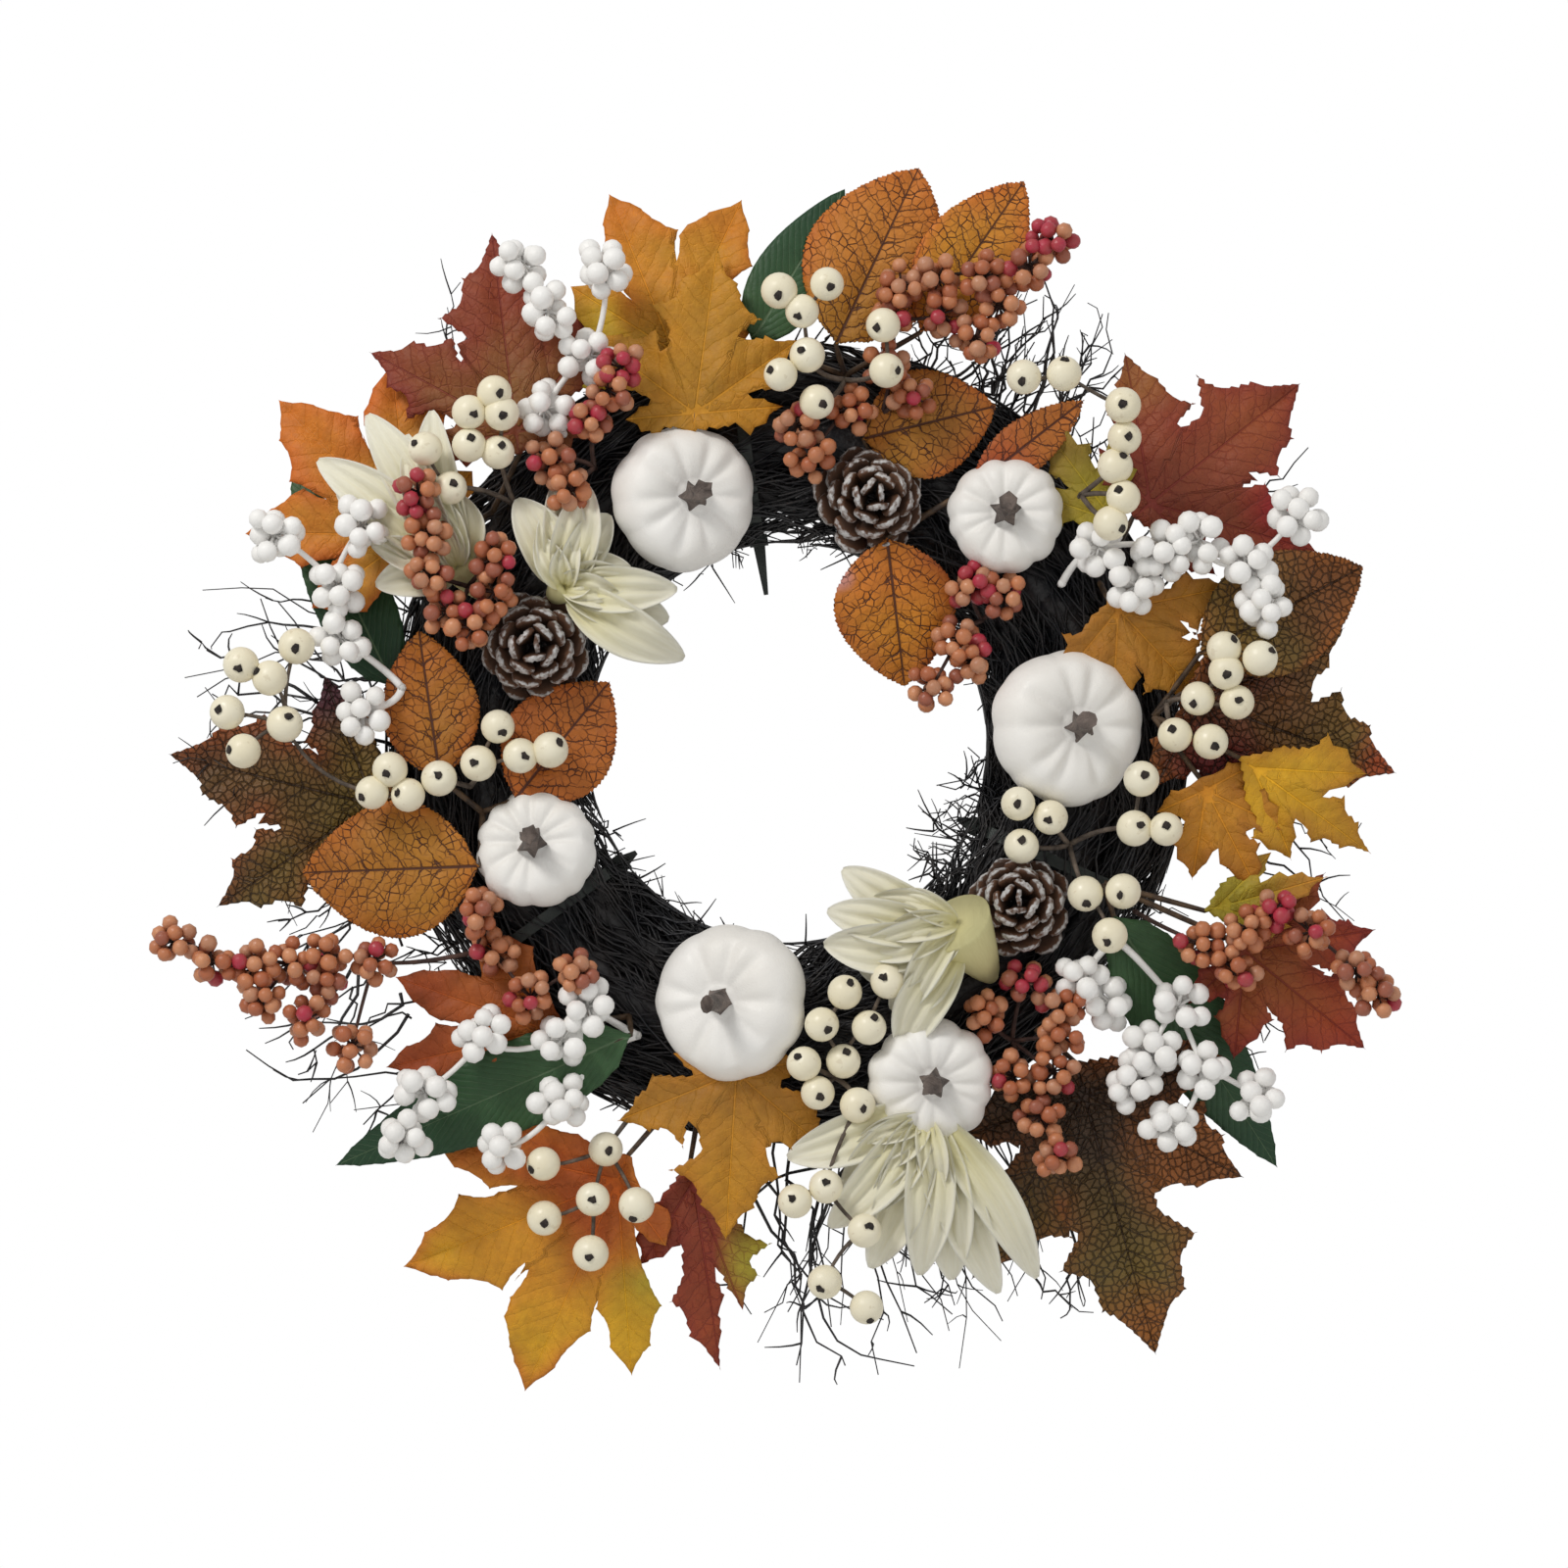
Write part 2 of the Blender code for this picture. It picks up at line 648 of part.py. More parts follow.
def hanging_loop():
    """The wire loop for the door hook, linked round the hoop by its eye."""
    wire = LOOP_WIRE / 2
    hoop_top = UP * -HOOP_DROP
    eye_radius = HOOP_WIRE / 2 + EYE_CLEARANCE + wire
    eye = hoop(hoop_top, SIDE, eye_radius, wire, 12, 5)
    loop = hoop(UP * (wire - LOOP_RADIUS), FRONT, LOOP_RADIUS, wire, 16, 5)
    neck_foot = hoop_top + UP * (eye_radius - wire / 2)
    neck_head = UP * (wire / 2 - 2 * LOOP_RADIUS + wire)
    neck = tube([neck_foot, neck_head], wire, 5)
    return fused("hanging_loop", [loop, neck, eye])


def loop_notch():
    """The space behind the mat's crown that the hanging loop stands and turns in."""
    wide = 2 * (LOOP_RADIUS + LOOP_WIRE / 2 + LOOP_CLEARANCE)
    front = HOOP_WIRE / 2 + EYE_CLEARANCE + LOOP_WIRE + LOOP_CLEARANCE
    back = MAT_BACK * 2
    low = -HOOP_DROP - NOTCH_BELOW_HOOP
    high = -HOOP_DROP + MAT_HALF_WIDTH * 1.5
    middle = Vector((0, (back - front) / 2, (low + high) / 2))
    return block(middle, (SIDE, FRONT, UP), (wide, front + back, high - low))


# Leaves, flowers, pumpkins, cones and berries

def lay_leaf_pick(ring, name, hub_place, leaves, finish):
    """A pick of leaves whose petioles meet at one hub."""
    depth = MAT_FRONT + HUB_STANDOFF
    hub = at(hub_place, depth)
    shapes = [knob(hub, HUB_RADIUS)]
    for n, (outline, base_place, tip_place, width, lift) in enumerate(leaves):
        layer = depth + n * LEAF_LAYER
        base, tip = at(base_place, layer), at(tip_place, layer + lift)
        shapes.append(blade(outline, base, tip, width, LEAF_DROOP))
        rib = [hub, base, base.lerp(tip, RIB_REACH) - FRONT * (tip - base).length * LEAF_DROOP * RIB_REACH ** 2]
        shapes.append(tube(rib, PETIOLE_RADIUS, 4))
    ring.lay(name, shapes, hub, hub_place, finish, thin=True)


def lay_flower(ring, name, hub_place, throat_place, throat_radius, petal_tips):
    """A flower: a trumpet from the hub to its throat, and petals that fan out of the throat."""
    depth = MAT_FRONT + HUB_STANDOFF
    hub = at(hub_place, depth)
    throat = at(throat_place, depth + 0.006)
    radii = (HUB_RADIUS, throat_radius * 0.75, throat_radius)
    shapes = [tube([hub, hub.lerp(throat, 0.5), throat], radii, 8)]
    shapes.append(ball(throat, throat_radius * 0.9))
    for n, tip_place in enumerate(petal_tips):
        rise = 0.0022 * (n % 3)
        base = throat + FRONT * rise
        tip = at(tip_place, depth + PETAL_LIFT + rise)
        shapes.append(blade(PETAL, base, tip, PETAL_WIDTH, PETAL_DROOP))
    ring.lay(name, shapes, hub, hub_place, "petal_ivory", thin=True)


def leaning(tilt):
    """Three directions of a piece whose axis points to the front, tilted sideways and upward."""
    axis = FRONT + SIDE * math.tan(math.radians(tilt[0])) + UP * math.tan(math.radians(tilt[1]))
    axis.normalize()
    across = (SIDE - axis * SIDE.dot(axis)).normalized()
    return across, axis.cross(across), axis


def turned(centre, axes, profile, columns, swell):
    """A turned body with ribs: its profile is (radius, height) from its foot to its head."""
    across, over, axis = axes
    rings = []
    for radius, height in profile:
        ring = []
        for column in range(columns):
            turn = math.tau * column / columns
            reach = radius * swell(column, radius)
            ring.append(centre + (across * math.cos(turn) + over * math.sin(turn)) * reach + axis * height)
        rings.append(ring)
    return loft(rings)


def lay_pumpkin(ring, name, clock_place, diameter, tilt):
    """A ribbed pumpkin with a flat seat and a peg hole on top, and the stem that stands in it."""
    radius = diameter / 2
    height = diameter * PUMPKIN_HEIGHT
    axes = leaning(tilt)
    centre = at(clock_place, MAT_FRONT + height / 2 + PICK_GAP)
    seat = STEM_FLARE + SEAT_CLEARANCE
    hole = PEG_RADIUS + SEAT_CLEARANCE
    seat_height = height / 2 - 0.0022
    hole_floor = seat_height - PEG_LENGTH - SEAT_CLEARANCE
    profile = [(radius * 0.18, -height * 0.46)]
    for turn in (35, 75, 110, 145):
        lean = math.radians(turn)
        profile.append((radius * math.sin(lean) ** 0.7, -height / 2 * math.cos(lean)))
    profile += [(seat + 0.002, height / 2 - 0.0003), (seat, seat_height), (hole, seat_height), (hole, hole_floor)]

    def ribs(column, reach):
        return 1 - RIB_DEPTH * (column % 2) if reach > seat + 0.003 else 1

    skin = turned(centre, axes, profile, 2 * PUMPKIN_RIBS, ribs)
    foot = centre - axes[2] * height * 0.44
    shift = ring.lay("pumpkin_" + name, [skin], foot, clock_place, "pumpkin_skin")

    stem_foot = centre + shift + axes[2] * (seat_height + SEAT_CLEARANCE)
    stem_profile = [(PEG_RADIUS, -PEG_LENGTH), (PEG_RADIUS, 0), (STEM_FLARE, 0), (STEM_FLARE * 0.62, 0.0025),
                    (STEM_FLARE * 0.45, STEM_HEIGHT * 0.5), (STEM_FLARE * 0.40, STEM_HEIGHT)]

    def star(column, reach):
        return 1 - 0.3 * (column % 2) if reach > PEG_RADIUS else 1

    stem = new_object("pumpkin_stem_" + name, turned(stem_foot, axes, stem_profile, 8, star))
    stem.data.materials.append(material("pumpkin_stem"))
    stem["hub"] = stem_foot
    ring.laid.append(stem)


def lay_cone(ring, name, clock_place, diameter, tilt):
    """A pine cone that faces the front, as tiers of scales."""
    radius = diameter / 2
    height = diameter * 0.8
    axes = leaning(tilt)
    centre = at(clock_place, MAT_FRONT + height / 2 + PICK_GAP)
    tiers = ((0.55, 0.30, -0.50), (0.95, 0.60, -0.28), (1.00, 0.62, -0.04), (0.82, 0.46, 0.18), (0.52, 0.22, 0.36))
    profile = [(radius * 0.3, -height / 2)]
    for tip, gap, level in tiers:
        profile.append((radius * tip, height * (level + 0.06)))
        profile.append((radius * gap, height * (level + 0.10)))
    profile.append((radius * 0.08, height / 2))

    def scales(column, _reach):
        return 1 - 0.16 * (column % 2)

    skin = turned(centre, axes, profile, CONE_COLUMNS, scales)
    ring.lay(name, [skin], centre - axes[2] * height * 0.45, clock_place, "cone_scale")


def branches(hub, berries):
    """For each berry, the hub or the berry nearer the hub that its stem grows from."""
    order = sorted(berries, key=lambda berry: (berry - hub).length)
    grown = [(hub, 0)]
    links = []
    for berry in order:
        parent, run = min(grown, key=lambda spot: (spot[0] - berry).length + 0.4 * spot[1])
        grown.append((berry, run + (parent - berry).length))
        links.append((parent, berry))
    return links


def lay_spray(ring, name, hub_place, berry_places, head, radius, finish):
    """A forked stem with a berry or a cluster of small berries at each end."""
    depth = MAT_FRONT + HUB_STANDOFF
    hub = at(hub_place, depth)
    farthest = max((at(spot, depth) - hub).length for spot in berry_places)
    berries = []
    for n, spot in enumerate(berry_places):
        reach = (at(spot, depth) - hub).length / farthest
        berries.append(at(spot, depth + BERRY_RISE * reach * (0.6 + 0.2 * (n % 3))))
    shapes = [knob(hub, HUB_RADIUS)]
    shapes += [head(berry, radius) for berry in berries]
    shapes += [tube(link, BERRY_STEM, 3) for link in branches(hub, berries)]
    ring.lay(name, shapes, hub, hub_place, finish)


def main():
    for obj in list(bpy.data.objects):
        bpy.data.objects.remove(obj)

    centre = UP * CENTRE_Z
    wire_hoop = new_object("wire_hoop", hoop(centre, FRONT, RING_RADIUS, HOOP_WIRE / 2, 54, 5))
    wire_hoop["hub"] = centre
    loop = hanging_loop()
    loop["hub"] = UP * -HOOP_DROP
    bundles = []
    seams = BUNDLE_SEAMS + (BUNDLE_SEAMS[0] + 360,)
    for n, name in enumerate(("twig_bundle_right", "twig_bundle_bottom", "twig_bundle_left")):
        bundles.append(twig_bundle(name, seams[n], seams[n + 1]))
        bundles[-1]["hub"] = place((seams[n] + seams[n + 1]) / 2, 0, 0)
    ties = []
    for n, name in enumerate(("cable_tie_top", "cable_tie_right", "cable_tie_left")):
        ties.append(cable_tie(name, TIE_CLOCKS[n], TIE_TAILS[n]))
        ties[-1]["hub"] = place(TIE_CLOCKS[n], 0, 0)
    finishes = [(wire_hoop, "hoop_wire"), (loop, "hoop_wire")]
    finishes += [(bundle, "twig_bark") for bundle in bundles] + [(tie, "tie_plastic") for tie in ties]
    for obj, finish in finishes:
        obj.data.materials.append(material(finish))

    ring = Ring([wire_hoop, loop] + ties, bundles)
    for name, (hub_place, leaves) in LEAF_PICKS.items():
        finish = "leaf_green" if name.startswith("foliage") else "leaf_autumn"
        lay_leaf_pick(ring, name, hub_place, leaves, finish)
    for name, flower in FLOWERS.items():
        lay_flower(ring, name, *flower)
    for name, cone in CONES.items():
        lay_cone(ring, name, *cone)
    for name, pumpkin in PUMPKINS.items():
        lay_pumpkin(ring, name, *pumpkin)
    lay_leaf_pick(ring, "maple_leaf_front", *FRONT_LEAF_PICK, "leaf_autumn")
    kinds = (("white_spray_", WHITE_SPRAYS, ball, WHITE_CLUSTER, "berry_white"),
             ("orange_spray_", ORANGE_SPRAYS, knob, ORANGE_CLUSTER, "berry_orange"),
             ("cream_spray_", CREAM_SPRAYS, ball, CREAM_BERRY, "berry_cream"))
    for kind, sprays, head, radius, finish in kinds:
        for name, (hub_place, berries) in sprays.items():
            lay_spray(ring, kind + name, hub_place, berries, head, radius, finish)

    for n, bundle in enumerate(bundles):
        cutters = ring.sockets + ([loop_notch()] if n != 1 else [])
        combine(bundle, cutters, "DIFFERENCE")

    whole = bpy.data.objects.new("wreath", None)
    bpy.context.scene.collection.objects.link(whole)
    for obj in bundles + ring.laid:
        hub = Vector(obj["hub"])
        del obj["hub"]
        for corner in obj.data.vertices:
            corner.co -= hub
        obj.location = hub
        obj.parent = whole
        if not obj.name.startswith(("foliage", "maple", "oval")):
            obj.data.shade_smooth()
            obj.data.set_sharp_from_angle(angle=math.radians(35))
    for mesh in [mesh for mesh in bpy.data.meshes if not mesh.users]:
        bpy.data.meshes.remove(mesh)


main()
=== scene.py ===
# %% [markdown]
# # A harvest door wreath
# The real thing is a ring of thin black twigs, wired round a steel hoop, with small white pumpkins,
# pine cones, cloth leaves, cloth flowers and three kinds of berries on wired stems pushed into it.
# The solid model already gives every part its place and its joints. This lesson loads that model as a
# fixed frame and dresses each part of it with a finer piece that moves with the same body.

# %% Load the frame
import math
import random
from functools import partial

import bpy
import bmesh
import numpy as np
from mathutils import Matrix, Vector, noise
from mathutils.geometry import delaunay_2d_cdt


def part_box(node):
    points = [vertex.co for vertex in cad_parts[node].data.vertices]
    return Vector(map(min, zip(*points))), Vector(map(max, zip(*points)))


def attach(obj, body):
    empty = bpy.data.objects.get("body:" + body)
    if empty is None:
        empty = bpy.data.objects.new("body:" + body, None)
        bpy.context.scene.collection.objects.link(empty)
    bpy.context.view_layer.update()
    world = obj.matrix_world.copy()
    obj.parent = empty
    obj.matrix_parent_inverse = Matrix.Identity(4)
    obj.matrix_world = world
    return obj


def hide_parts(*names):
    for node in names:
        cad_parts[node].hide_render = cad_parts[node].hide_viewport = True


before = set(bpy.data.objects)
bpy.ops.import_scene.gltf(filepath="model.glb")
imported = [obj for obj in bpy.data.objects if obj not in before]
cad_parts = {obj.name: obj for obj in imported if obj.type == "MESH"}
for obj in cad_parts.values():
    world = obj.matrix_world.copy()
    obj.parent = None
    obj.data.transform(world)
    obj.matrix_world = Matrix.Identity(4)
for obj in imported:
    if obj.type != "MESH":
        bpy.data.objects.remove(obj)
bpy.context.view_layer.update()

# %% [markdown]
# ## Places on the ring
# A florist speaks of a wreath as a clock face, so every piece here has a clock place in degrees and a
# distance outward from the hoop in millimetres. The hoop's own box gives the centre and the radius.
# How far forward a piece lies is read from the solid that it dresses.

# %% Places on the ring
hoop_low, hoop_high = (Vector(corner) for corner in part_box("wire_hoop"))
CENTRE = (hoop_low + hoop_high) / 2
HOOP_RADIUS = (hoop_high.x - hoop_low.x - (hoop_high.y - hoop_low.y)) / 2
FRONT = Vector((0, -1, 0))
SIDE = Vector((1, 0, 0))
UP = Vector((0, 0, 1))
MM = 0.001


def outward(clock):
    """The direction away from the ring's centre at this clock place."""
    turn = math.radians(clock)
    return Vector((math.sin(turn), 0, math.cos(turn)))


def on_ring(clock_place, depth=0.0):
    """A point from a clock place, millimetres outward from the hoop, and metres in front of it."""
    clock, out = clock_place
    return CENTRE + outward(clock) * (HOOP_RADIUS + out * MM) + FRONT * depth


def node_points(name):
    """The corners of a solid's mesh."""
    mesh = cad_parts[name].data
    points = np.empty(len(mesh.vertices) * 3)
    mesh.vertices.foreach_get("co", points)
    return points.reshape(-1, 3)


def seated(name, clock_place, reach=6):
    """The point at a clock place, as far forward as the solid lies there."""
    spot = on_ring(clock_place)
    points = node_points(name)
    off = np.hypot(points[:, 0] - spot.x, points[:, 2] - spot.z)
    near = points[off < reach * MM]
    if len(near) < 3:
        near = points[np.argsort(off)[:3]]
    return Vector((spot.x, near[:, 1].mean(), spot.z))


def middle_depth(name):
    """How far back the middle of a solid lies."""
    low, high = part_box(name)
    return (low[1] + high[1]) / 2


print(f"hoop radius {HOOP_RADIUS * 1000:.1f} mm, centre at {CENTRE.z * 1000:.1f} mm")

# %% [markdown]
# ## Small helpers for materials
# Every finish below is a Principled shader fed by a few nodes. Two effects serve many finishes, so each
# is a node group: one gives soft blotches and fine flecks, the other gives the veins of a leaf.

# %% Helpers for materials
def new_material(name, roughness, metallic=0.0, specular=0.5):
    """A material with its Principled shader, ready for nodes."""
    finish = bpy.data.materials.new(name)
    finish.use_nodes = True
    shader = finish.node_tree.nodes["Principled BSDF"]
    shader.inputs["Roughness"].default_value = roughness
    shader.inputs["Metallic"].default_value = metallic
    shader.inputs["Specular IOR Level"].default_value = specular
    where = node(finish.node_tree, "ShaderNodeTexCoord").outputs["Object"]
    return finish, finish.node_tree, shader, where


def node(tree, kind, values=(), **settings):
    """A node with its settings, then its inputs: plain values, sockets, or nodes for their first output."""
    made = tree.nodes.new(kind)
    for key, value in settings.items():
        setattr(made, key, value)
    for key, value in dict(values).items():
        if isinstance(value, bpy.types.Node):
            value = value.outputs[0]
        if isinstance(value, bpy.types.NodeSocket):
            tree.links.new(value, made.inputs[key])
        else:
            made.inputs[key].default_value = value
    return made


def maths(operation, *values):
    """The result of one Math node, in the tree that its values come from."""
    tree = next(value.id_data for value in values if isinstance(value, bpy.types.NodeSocket))
    return node(tree, "ShaderNodeMath", enumerate(values), operation=operation).outputs[0]


plus, minus = partial(maths, "ADD"), partial(maths, "SUBTRACT")
times, ratio = partial(maths, "MULTIPLY"), partial(maths, "DIVIDE")


def span(value, low, high, to_low=0.0, to_high=1.0):
    """A value from one range to another, kept inside it."""
    made = node(value.id_data, "ShaderNodeMapRange",
                {"Value": value, "From Min": low, "From Max": high, "To Min": to_low, "To Max": to_high})
    return made.outputs["Result"]


def mixed(share, first, second, way="MIX"):
    """Two colours mixed by a share."""
    first, second = ((*colour, 1) if isinstance(colour, tuple) else colour for colour in (first, second))
    made = node(share.id_data, "ShaderNodeMix", {0: share, 6: first, 7: second}, data_type="RGBA",
                blend_type=way)
    return made.outputs[2]


def bumped(shader, height, strength, distance):
    """Leads a height into the shader's normal."""
    tree = height.id_data
    bump = node(tree, "ShaderNodeBump", {"Height": height, "Strength": strength, "Distance": distance})
    tree.links.new(bump.outputs["Normal"], shader.inputs["Normal"])


def group(name, inputs, outputs):
    """An empty node group with named sockets."""
    tree = bpy.data.node_groups.new(name, "ShaderNodeTree")
    for label, kind in inputs:
        tree.interface.new_socket(label, in_out="INPUT", socket_type=kind)
    for label, kind in outputs:
        tree.interface.new_socket(label, in_out="OUTPUT", socket_type=kind)
    return tree, tree.nodes.new("NodeGroupInput").outputs, tree.nodes.new("NodeGroupOutput").inputs


def placed(tree, which, values):
    """A node group placed in a material."""
    return node(tree, "ShaderNodeGroup", values, node_tree=which).outputs


FLOAT, VECTOR = "NodeSocketFloat", "NodeSocketVector"
mottle, given, result = group("mottle", [("Place", VECTOR), ("Size", FLOAT)],
                              [("Blotch", FLOAT), ("Fleck", FLOAT)])
coarse = node(mottle, "ShaderNodeTexNoise",
              {"Vector": given["Place"], "Scale": given["Size"], "Detail": 4.0})
fine_size = times(given["Size"], 9.0)
fine = node(mottle, "ShaderNodeTexNoise", {"Vector": given["Place"], "Scale": fine_size, "Detail": 3.0})
mottle.links.new(span(coarse.outputs["Fac"], 0.35, 0.68), result["Blotch"])
mottle.links.new(span(fine.outputs["Fac"], 0.3, 0.7), result["Fleck"])


def mottled_finish(name, roughness, size, dark, light, bump, gloss=None, **surface):
    """Two colours in soft blotches, with bumps, and a change of gloss if there is one, from the flecks."""
    finish, tree, shader, where = new_material(name, roughness, **surface)
    marks = placed(tree, mottle, {"Place": where, "Size": size})
    tree.links.new(mixed(marks["Blotch"], dark, light), shader.inputs["Base Color"])
    if gloss:
        tree.links.new(span(marks["Fleck"], 0, 1, *gloss), shader.inputs["Roughness"])
    bumped(shader, marks["Fleck"], *bump)
    return finish


# %% [markdown]
# ## Camera, light and floor
# A wreath is best seen square on, in soft daylight from the upper left, against white. A long lens
# from two metres away keeps the ring round. The pale floor lies well below, where a doorstep would be.

# %% Camera, light and floor
LENS = 115
CAMERA_DISTANCE = 2.0
CAMERA_ASIDE, CAMERA_BELOW, DRESSED_FRONT = -0.0012, 0.0168, -0.045
GLOW = 0.55
camera_data = bpy.data.cameras.new("front_camera")
camera_data.lens = LENS
camera_data.sensor_width = 36
camera = bpy.data.objects.new("front_camera", camera_data)
camera.location = (CAMERA_ASIDE, DRESSED_FRONT - CAMERA_DISTANCE, CENTRE.z - CAMERA_BELOW)
camera.rotation_euler = (math.radians(90), 0, 0)
bpy.context.scene.collection.objects.link(camera)
bpy.context.scene.camera = camera
bpy.context.scene.view_settings.view_transform = "Standard"


def soft_light(name, place, watts, size, colour):
    """A square light that faces the middle of the wreath."""
    data = bpy.data.lights.new(name, "AREA")
    data.energy = watts
    data.size = size
    data.color = colour
    light = bpy.data.objects.new(name, data)
    light.location = place
    light.rotation_euler = (CENTRE - Vector(place)).to_track_quat("-Z", "Y").to_euler()
    bpy.context.scene.collection.objects.link(light)


soft_light("window", (-1.3, -1.5, 1.5), 28, 0.7, (1.0, 0.98, 0.95))
soft_light("bounce", (1.6, -1.3, -0.5), 3, 1.4, (1.0, 0.99, 0.98))

world = bpy.data.worlds.new("studio")
world.use_nodes = True
bpy.context.scene.world = world
world.node_tree.nodes.clear()
seen = node(world.node_tree, "ShaderNodeBackground", {"Color": (1, 1, 1, 1)}).outputs[0]
glow = node(world.node_tree, "ShaderNodeBackground",
            {"Color": (1.0, 0.99, 0.97, 1), "Strength": GLOW}).outputs[0]
ray = node(world.node_tree, "ShaderNodeLightPath").outputs["Is Camera Ray"]
blend = node(world.node_tree, "ShaderNodeMixShader", {0: ray, 1: glow, 2: seen}).outputs[0]
node(world.node_tree, "ShaderNodeOutputWorld", {"Surface": blend})

floor_finish, tree, shader, where = new_material("pale_floor", 0.8)
dust = placed(tree, mottle, {"Place": where, "Size": 3.0})
tree.links.new(mixed(dust["Blotch"], (0.80, 0.80, 0.79), (0.84, 0.84, 0.83)), shader.inputs["Base Color"])
FLOOR_RADIUS, FLOOR_LEVEL = 1.5, -0.95
bpy.ops.mesh.primitive_circle_add(vertices=96, radius=FLOOR_RADIUS, fill_type="NGON",
                                  location=(0, 0, FLOOR_LEVEL))
floor = bpy.context.object
floor.name = "floor"
floor.data.materials.append(floor_finish)

# %% [markdown]
# ## Shapes become pieces
# Most parts are gathered from many small closed shapes. A Gather collects their points, faces,
# materials and marks, then makes one mesh of them, turns its faces outward, hangs it on the body that
# it rides on and hides the solids that it stands for. The marks are numbers kept at each point, such as
# a painted ground colour, that the materials read back.

# %% Shapes become pieces
class Gather:
    """Shapes that will be one piece."""

    def __init__(self):
        self.points, self.faces, self.kinds, self.finishes = [], [], [], []
        self.maps = {"leaf": [], "vein": []}
        self.ground = []

    def add(self, points, faces, finish, leaf=None, vein=None, ground=None):
        """One closed shape, with its marks where it has any."""
        if finish not in self.finishes:
            self.finishes.append(finish)
        start = len(self.points)
        self.points += [tuple(point) for point in points]
        self.faces += [tuple(start + corner for corner in face) for face in faces]
        self.kinds += [self.finishes.index(finish)] * len(faces)
        count = len(points)
        self.maps["leaf"] += leaf if leaf is not None else [(0, 0)] * count
        self.maps["vein"] += vein if vein is not None else [(0, 0)] * count
        self.ground += ground if ground is not None else [(0.5, 0.5, 0.5)] * count

    def make(self, name, slot, nodes, body="wreath"):
        """The piece, riding on its body."""
        mesh = bpy.data.meshes.new(name)
        mesh.from_pydata(self.points, [], self.faces)
        mesh.polygons.foreach_set("material_index", self.kinds)
        for finish in self.finishes:
            mesh.materials.append(finish)
        corners = np.empty(len(mesh.loops), np.int32)
        mesh.loops.foreach_get("vertex_index", corners)
        for label, values in self.maps.items():
            layer = mesh.uv_layers.new(name=label)
            layer.data.foreach_set("uv", np.array(values, np.float32)[corners].ravel())
        colours = mesh.attributes.new("ground", "FLOAT_COLOR", "POINT")
        rgba = np.ones((len(self.points), 4), np.float32)
        rgba[:, :3] = self.ground
        colours.data.foreach_set("color", rgba.ravel())
        return finished(name, mesh, nodes, body)


def finished(name, mesh, nodes, body="wreath", smooth=True, turn=True):
    """A mesh as a piece at the origin, with faces outward, on its body."""
    if turn:
        shell = bmesh.new()
        shell.from_mesh(mesh)
        bmesh.ops.recalc_face_normals(shell, faces=shell.faces)
        shell.to_mesh(mesh)
        shell.free()
    mesh.polygons.foreach_set("use_smooth", [smooth] * len(mesh.polygons))
    piece = bpy.data.objects.new(name, mesh)
    bpy.context.scene.collection.objects.link(piece)
    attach(piece, body)
    if nodes:
        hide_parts(*nodes)
    return piece


def ring_faces(rings, count):
    """The faces between closed rings of points, one ring after the other."""
    return [(ring * count + n, ring * count + (n + 1) % count,
             (ring + 1) * count + (n + 1) % count, (ring + 1) * count + n)
            for ring in range(rings - 1) for n in range(count)]


def tube(path, radii, sides=6):
    """A closed round tube along a path, with a radius at each point of it."""
    path = [Vector(point) for point in path]
    if not isinstance(radii, (list, tuple)):
        radii = [radii] * len(path)
    points = []
    side = None
    for n, point in enumerate(path):
        run = (path[min(n + 1, len(path) - 1)] - path[max(n - 1, 0)]).normalized()
        if side is None:
            side = run.cross(FRONT if abs(run.dot(FRONT)) < 0.9 else UP)
        side = (side - run * side.dot(run)).normalized()
        over = run.cross(side)
        for column in range(sides):
            turn = math.tau * column / sides
            points.append(point + (side * math.cos(turn) + over * math.sin(turn)) * radii[n])
    faces = ring_faces(len(path), sides)
    faces.append(tuple(reversed(range(sides))))
    faces.append(tuple(range(len(points) - sides, len(points))))
    return points, faces


def bent(start, end, sag, steps=5):
    """A path from start to end that bows by sag at its middle."""
    return [start.lerp(end, n / steps) + sag * (4 * n / steps * (1 - n / steps)) for n in range(steps + 1)]


def turned(centre, axes, profile, columns, swell):
    """A turned body: its profile is (radius, height), and swell changes the radius round it."""
    across, over, axis = axes
    points = []
    for row, (radius, height) in enumerate(profile):
        for column in range(columns):
            turn = math.tau * column / columns
            reach, rise = swell(turn, row / (len(profile) - 1), radius)
            points.append(centre + (across * math.cos(turn) + over * math.sin(turn)) * reach
                          + axis * (height + rise))
    rows = len(profile)
    faces = ring_faces(rows, columns)
    points += [centre + axis * profile[0][1], centre + axis * profile[-1][1]]
    foot, head = len(points) - 2, len(points) - 1
    for column in range(columns):
        after = (column + 1) % columns
        faces.append((foot, after, column))
        faces.append((head, (rows - 1) * columns + column, (rows - 1) * columns + after))
    return points, faces


def leaning(tilt):
    """Three directions of a piece whose axis points to the front, tilted sideways and upward."""
    axis = FRONT + SIDE * math.tan(math.radians(tilt[0])) + UP * math.tan(math.radians(tilt[1]))
    axis.normalize()
    across = (SIDE - axis * SIDE.dot(axis)).normalized()
    return across, axis.cross(across), axis


# %% [markdown]
# ## The twig mat
# The base of the wreath is a mat of thin, dark, glossy twigs wound round the hoop in three bundles.
# Thousands of thin lines that follow one path are what Geometry Nodes are for: the tree scatters short
# straight lines in a half-round section, turns each a little, bends the whole bundle round the ring
# and sweeps a small profile along every line. Each bundle is one piece, as on the solid model.

# %% The bark of the twigs
twig_finish = mottled_finish("black_twig", 0.38, 60.0, (0.006, 0.007, 0.011), (0.030, 0.026, 0.026),
                             (0.4, 0.0006),
                             gloss=(0.28, 0.55))

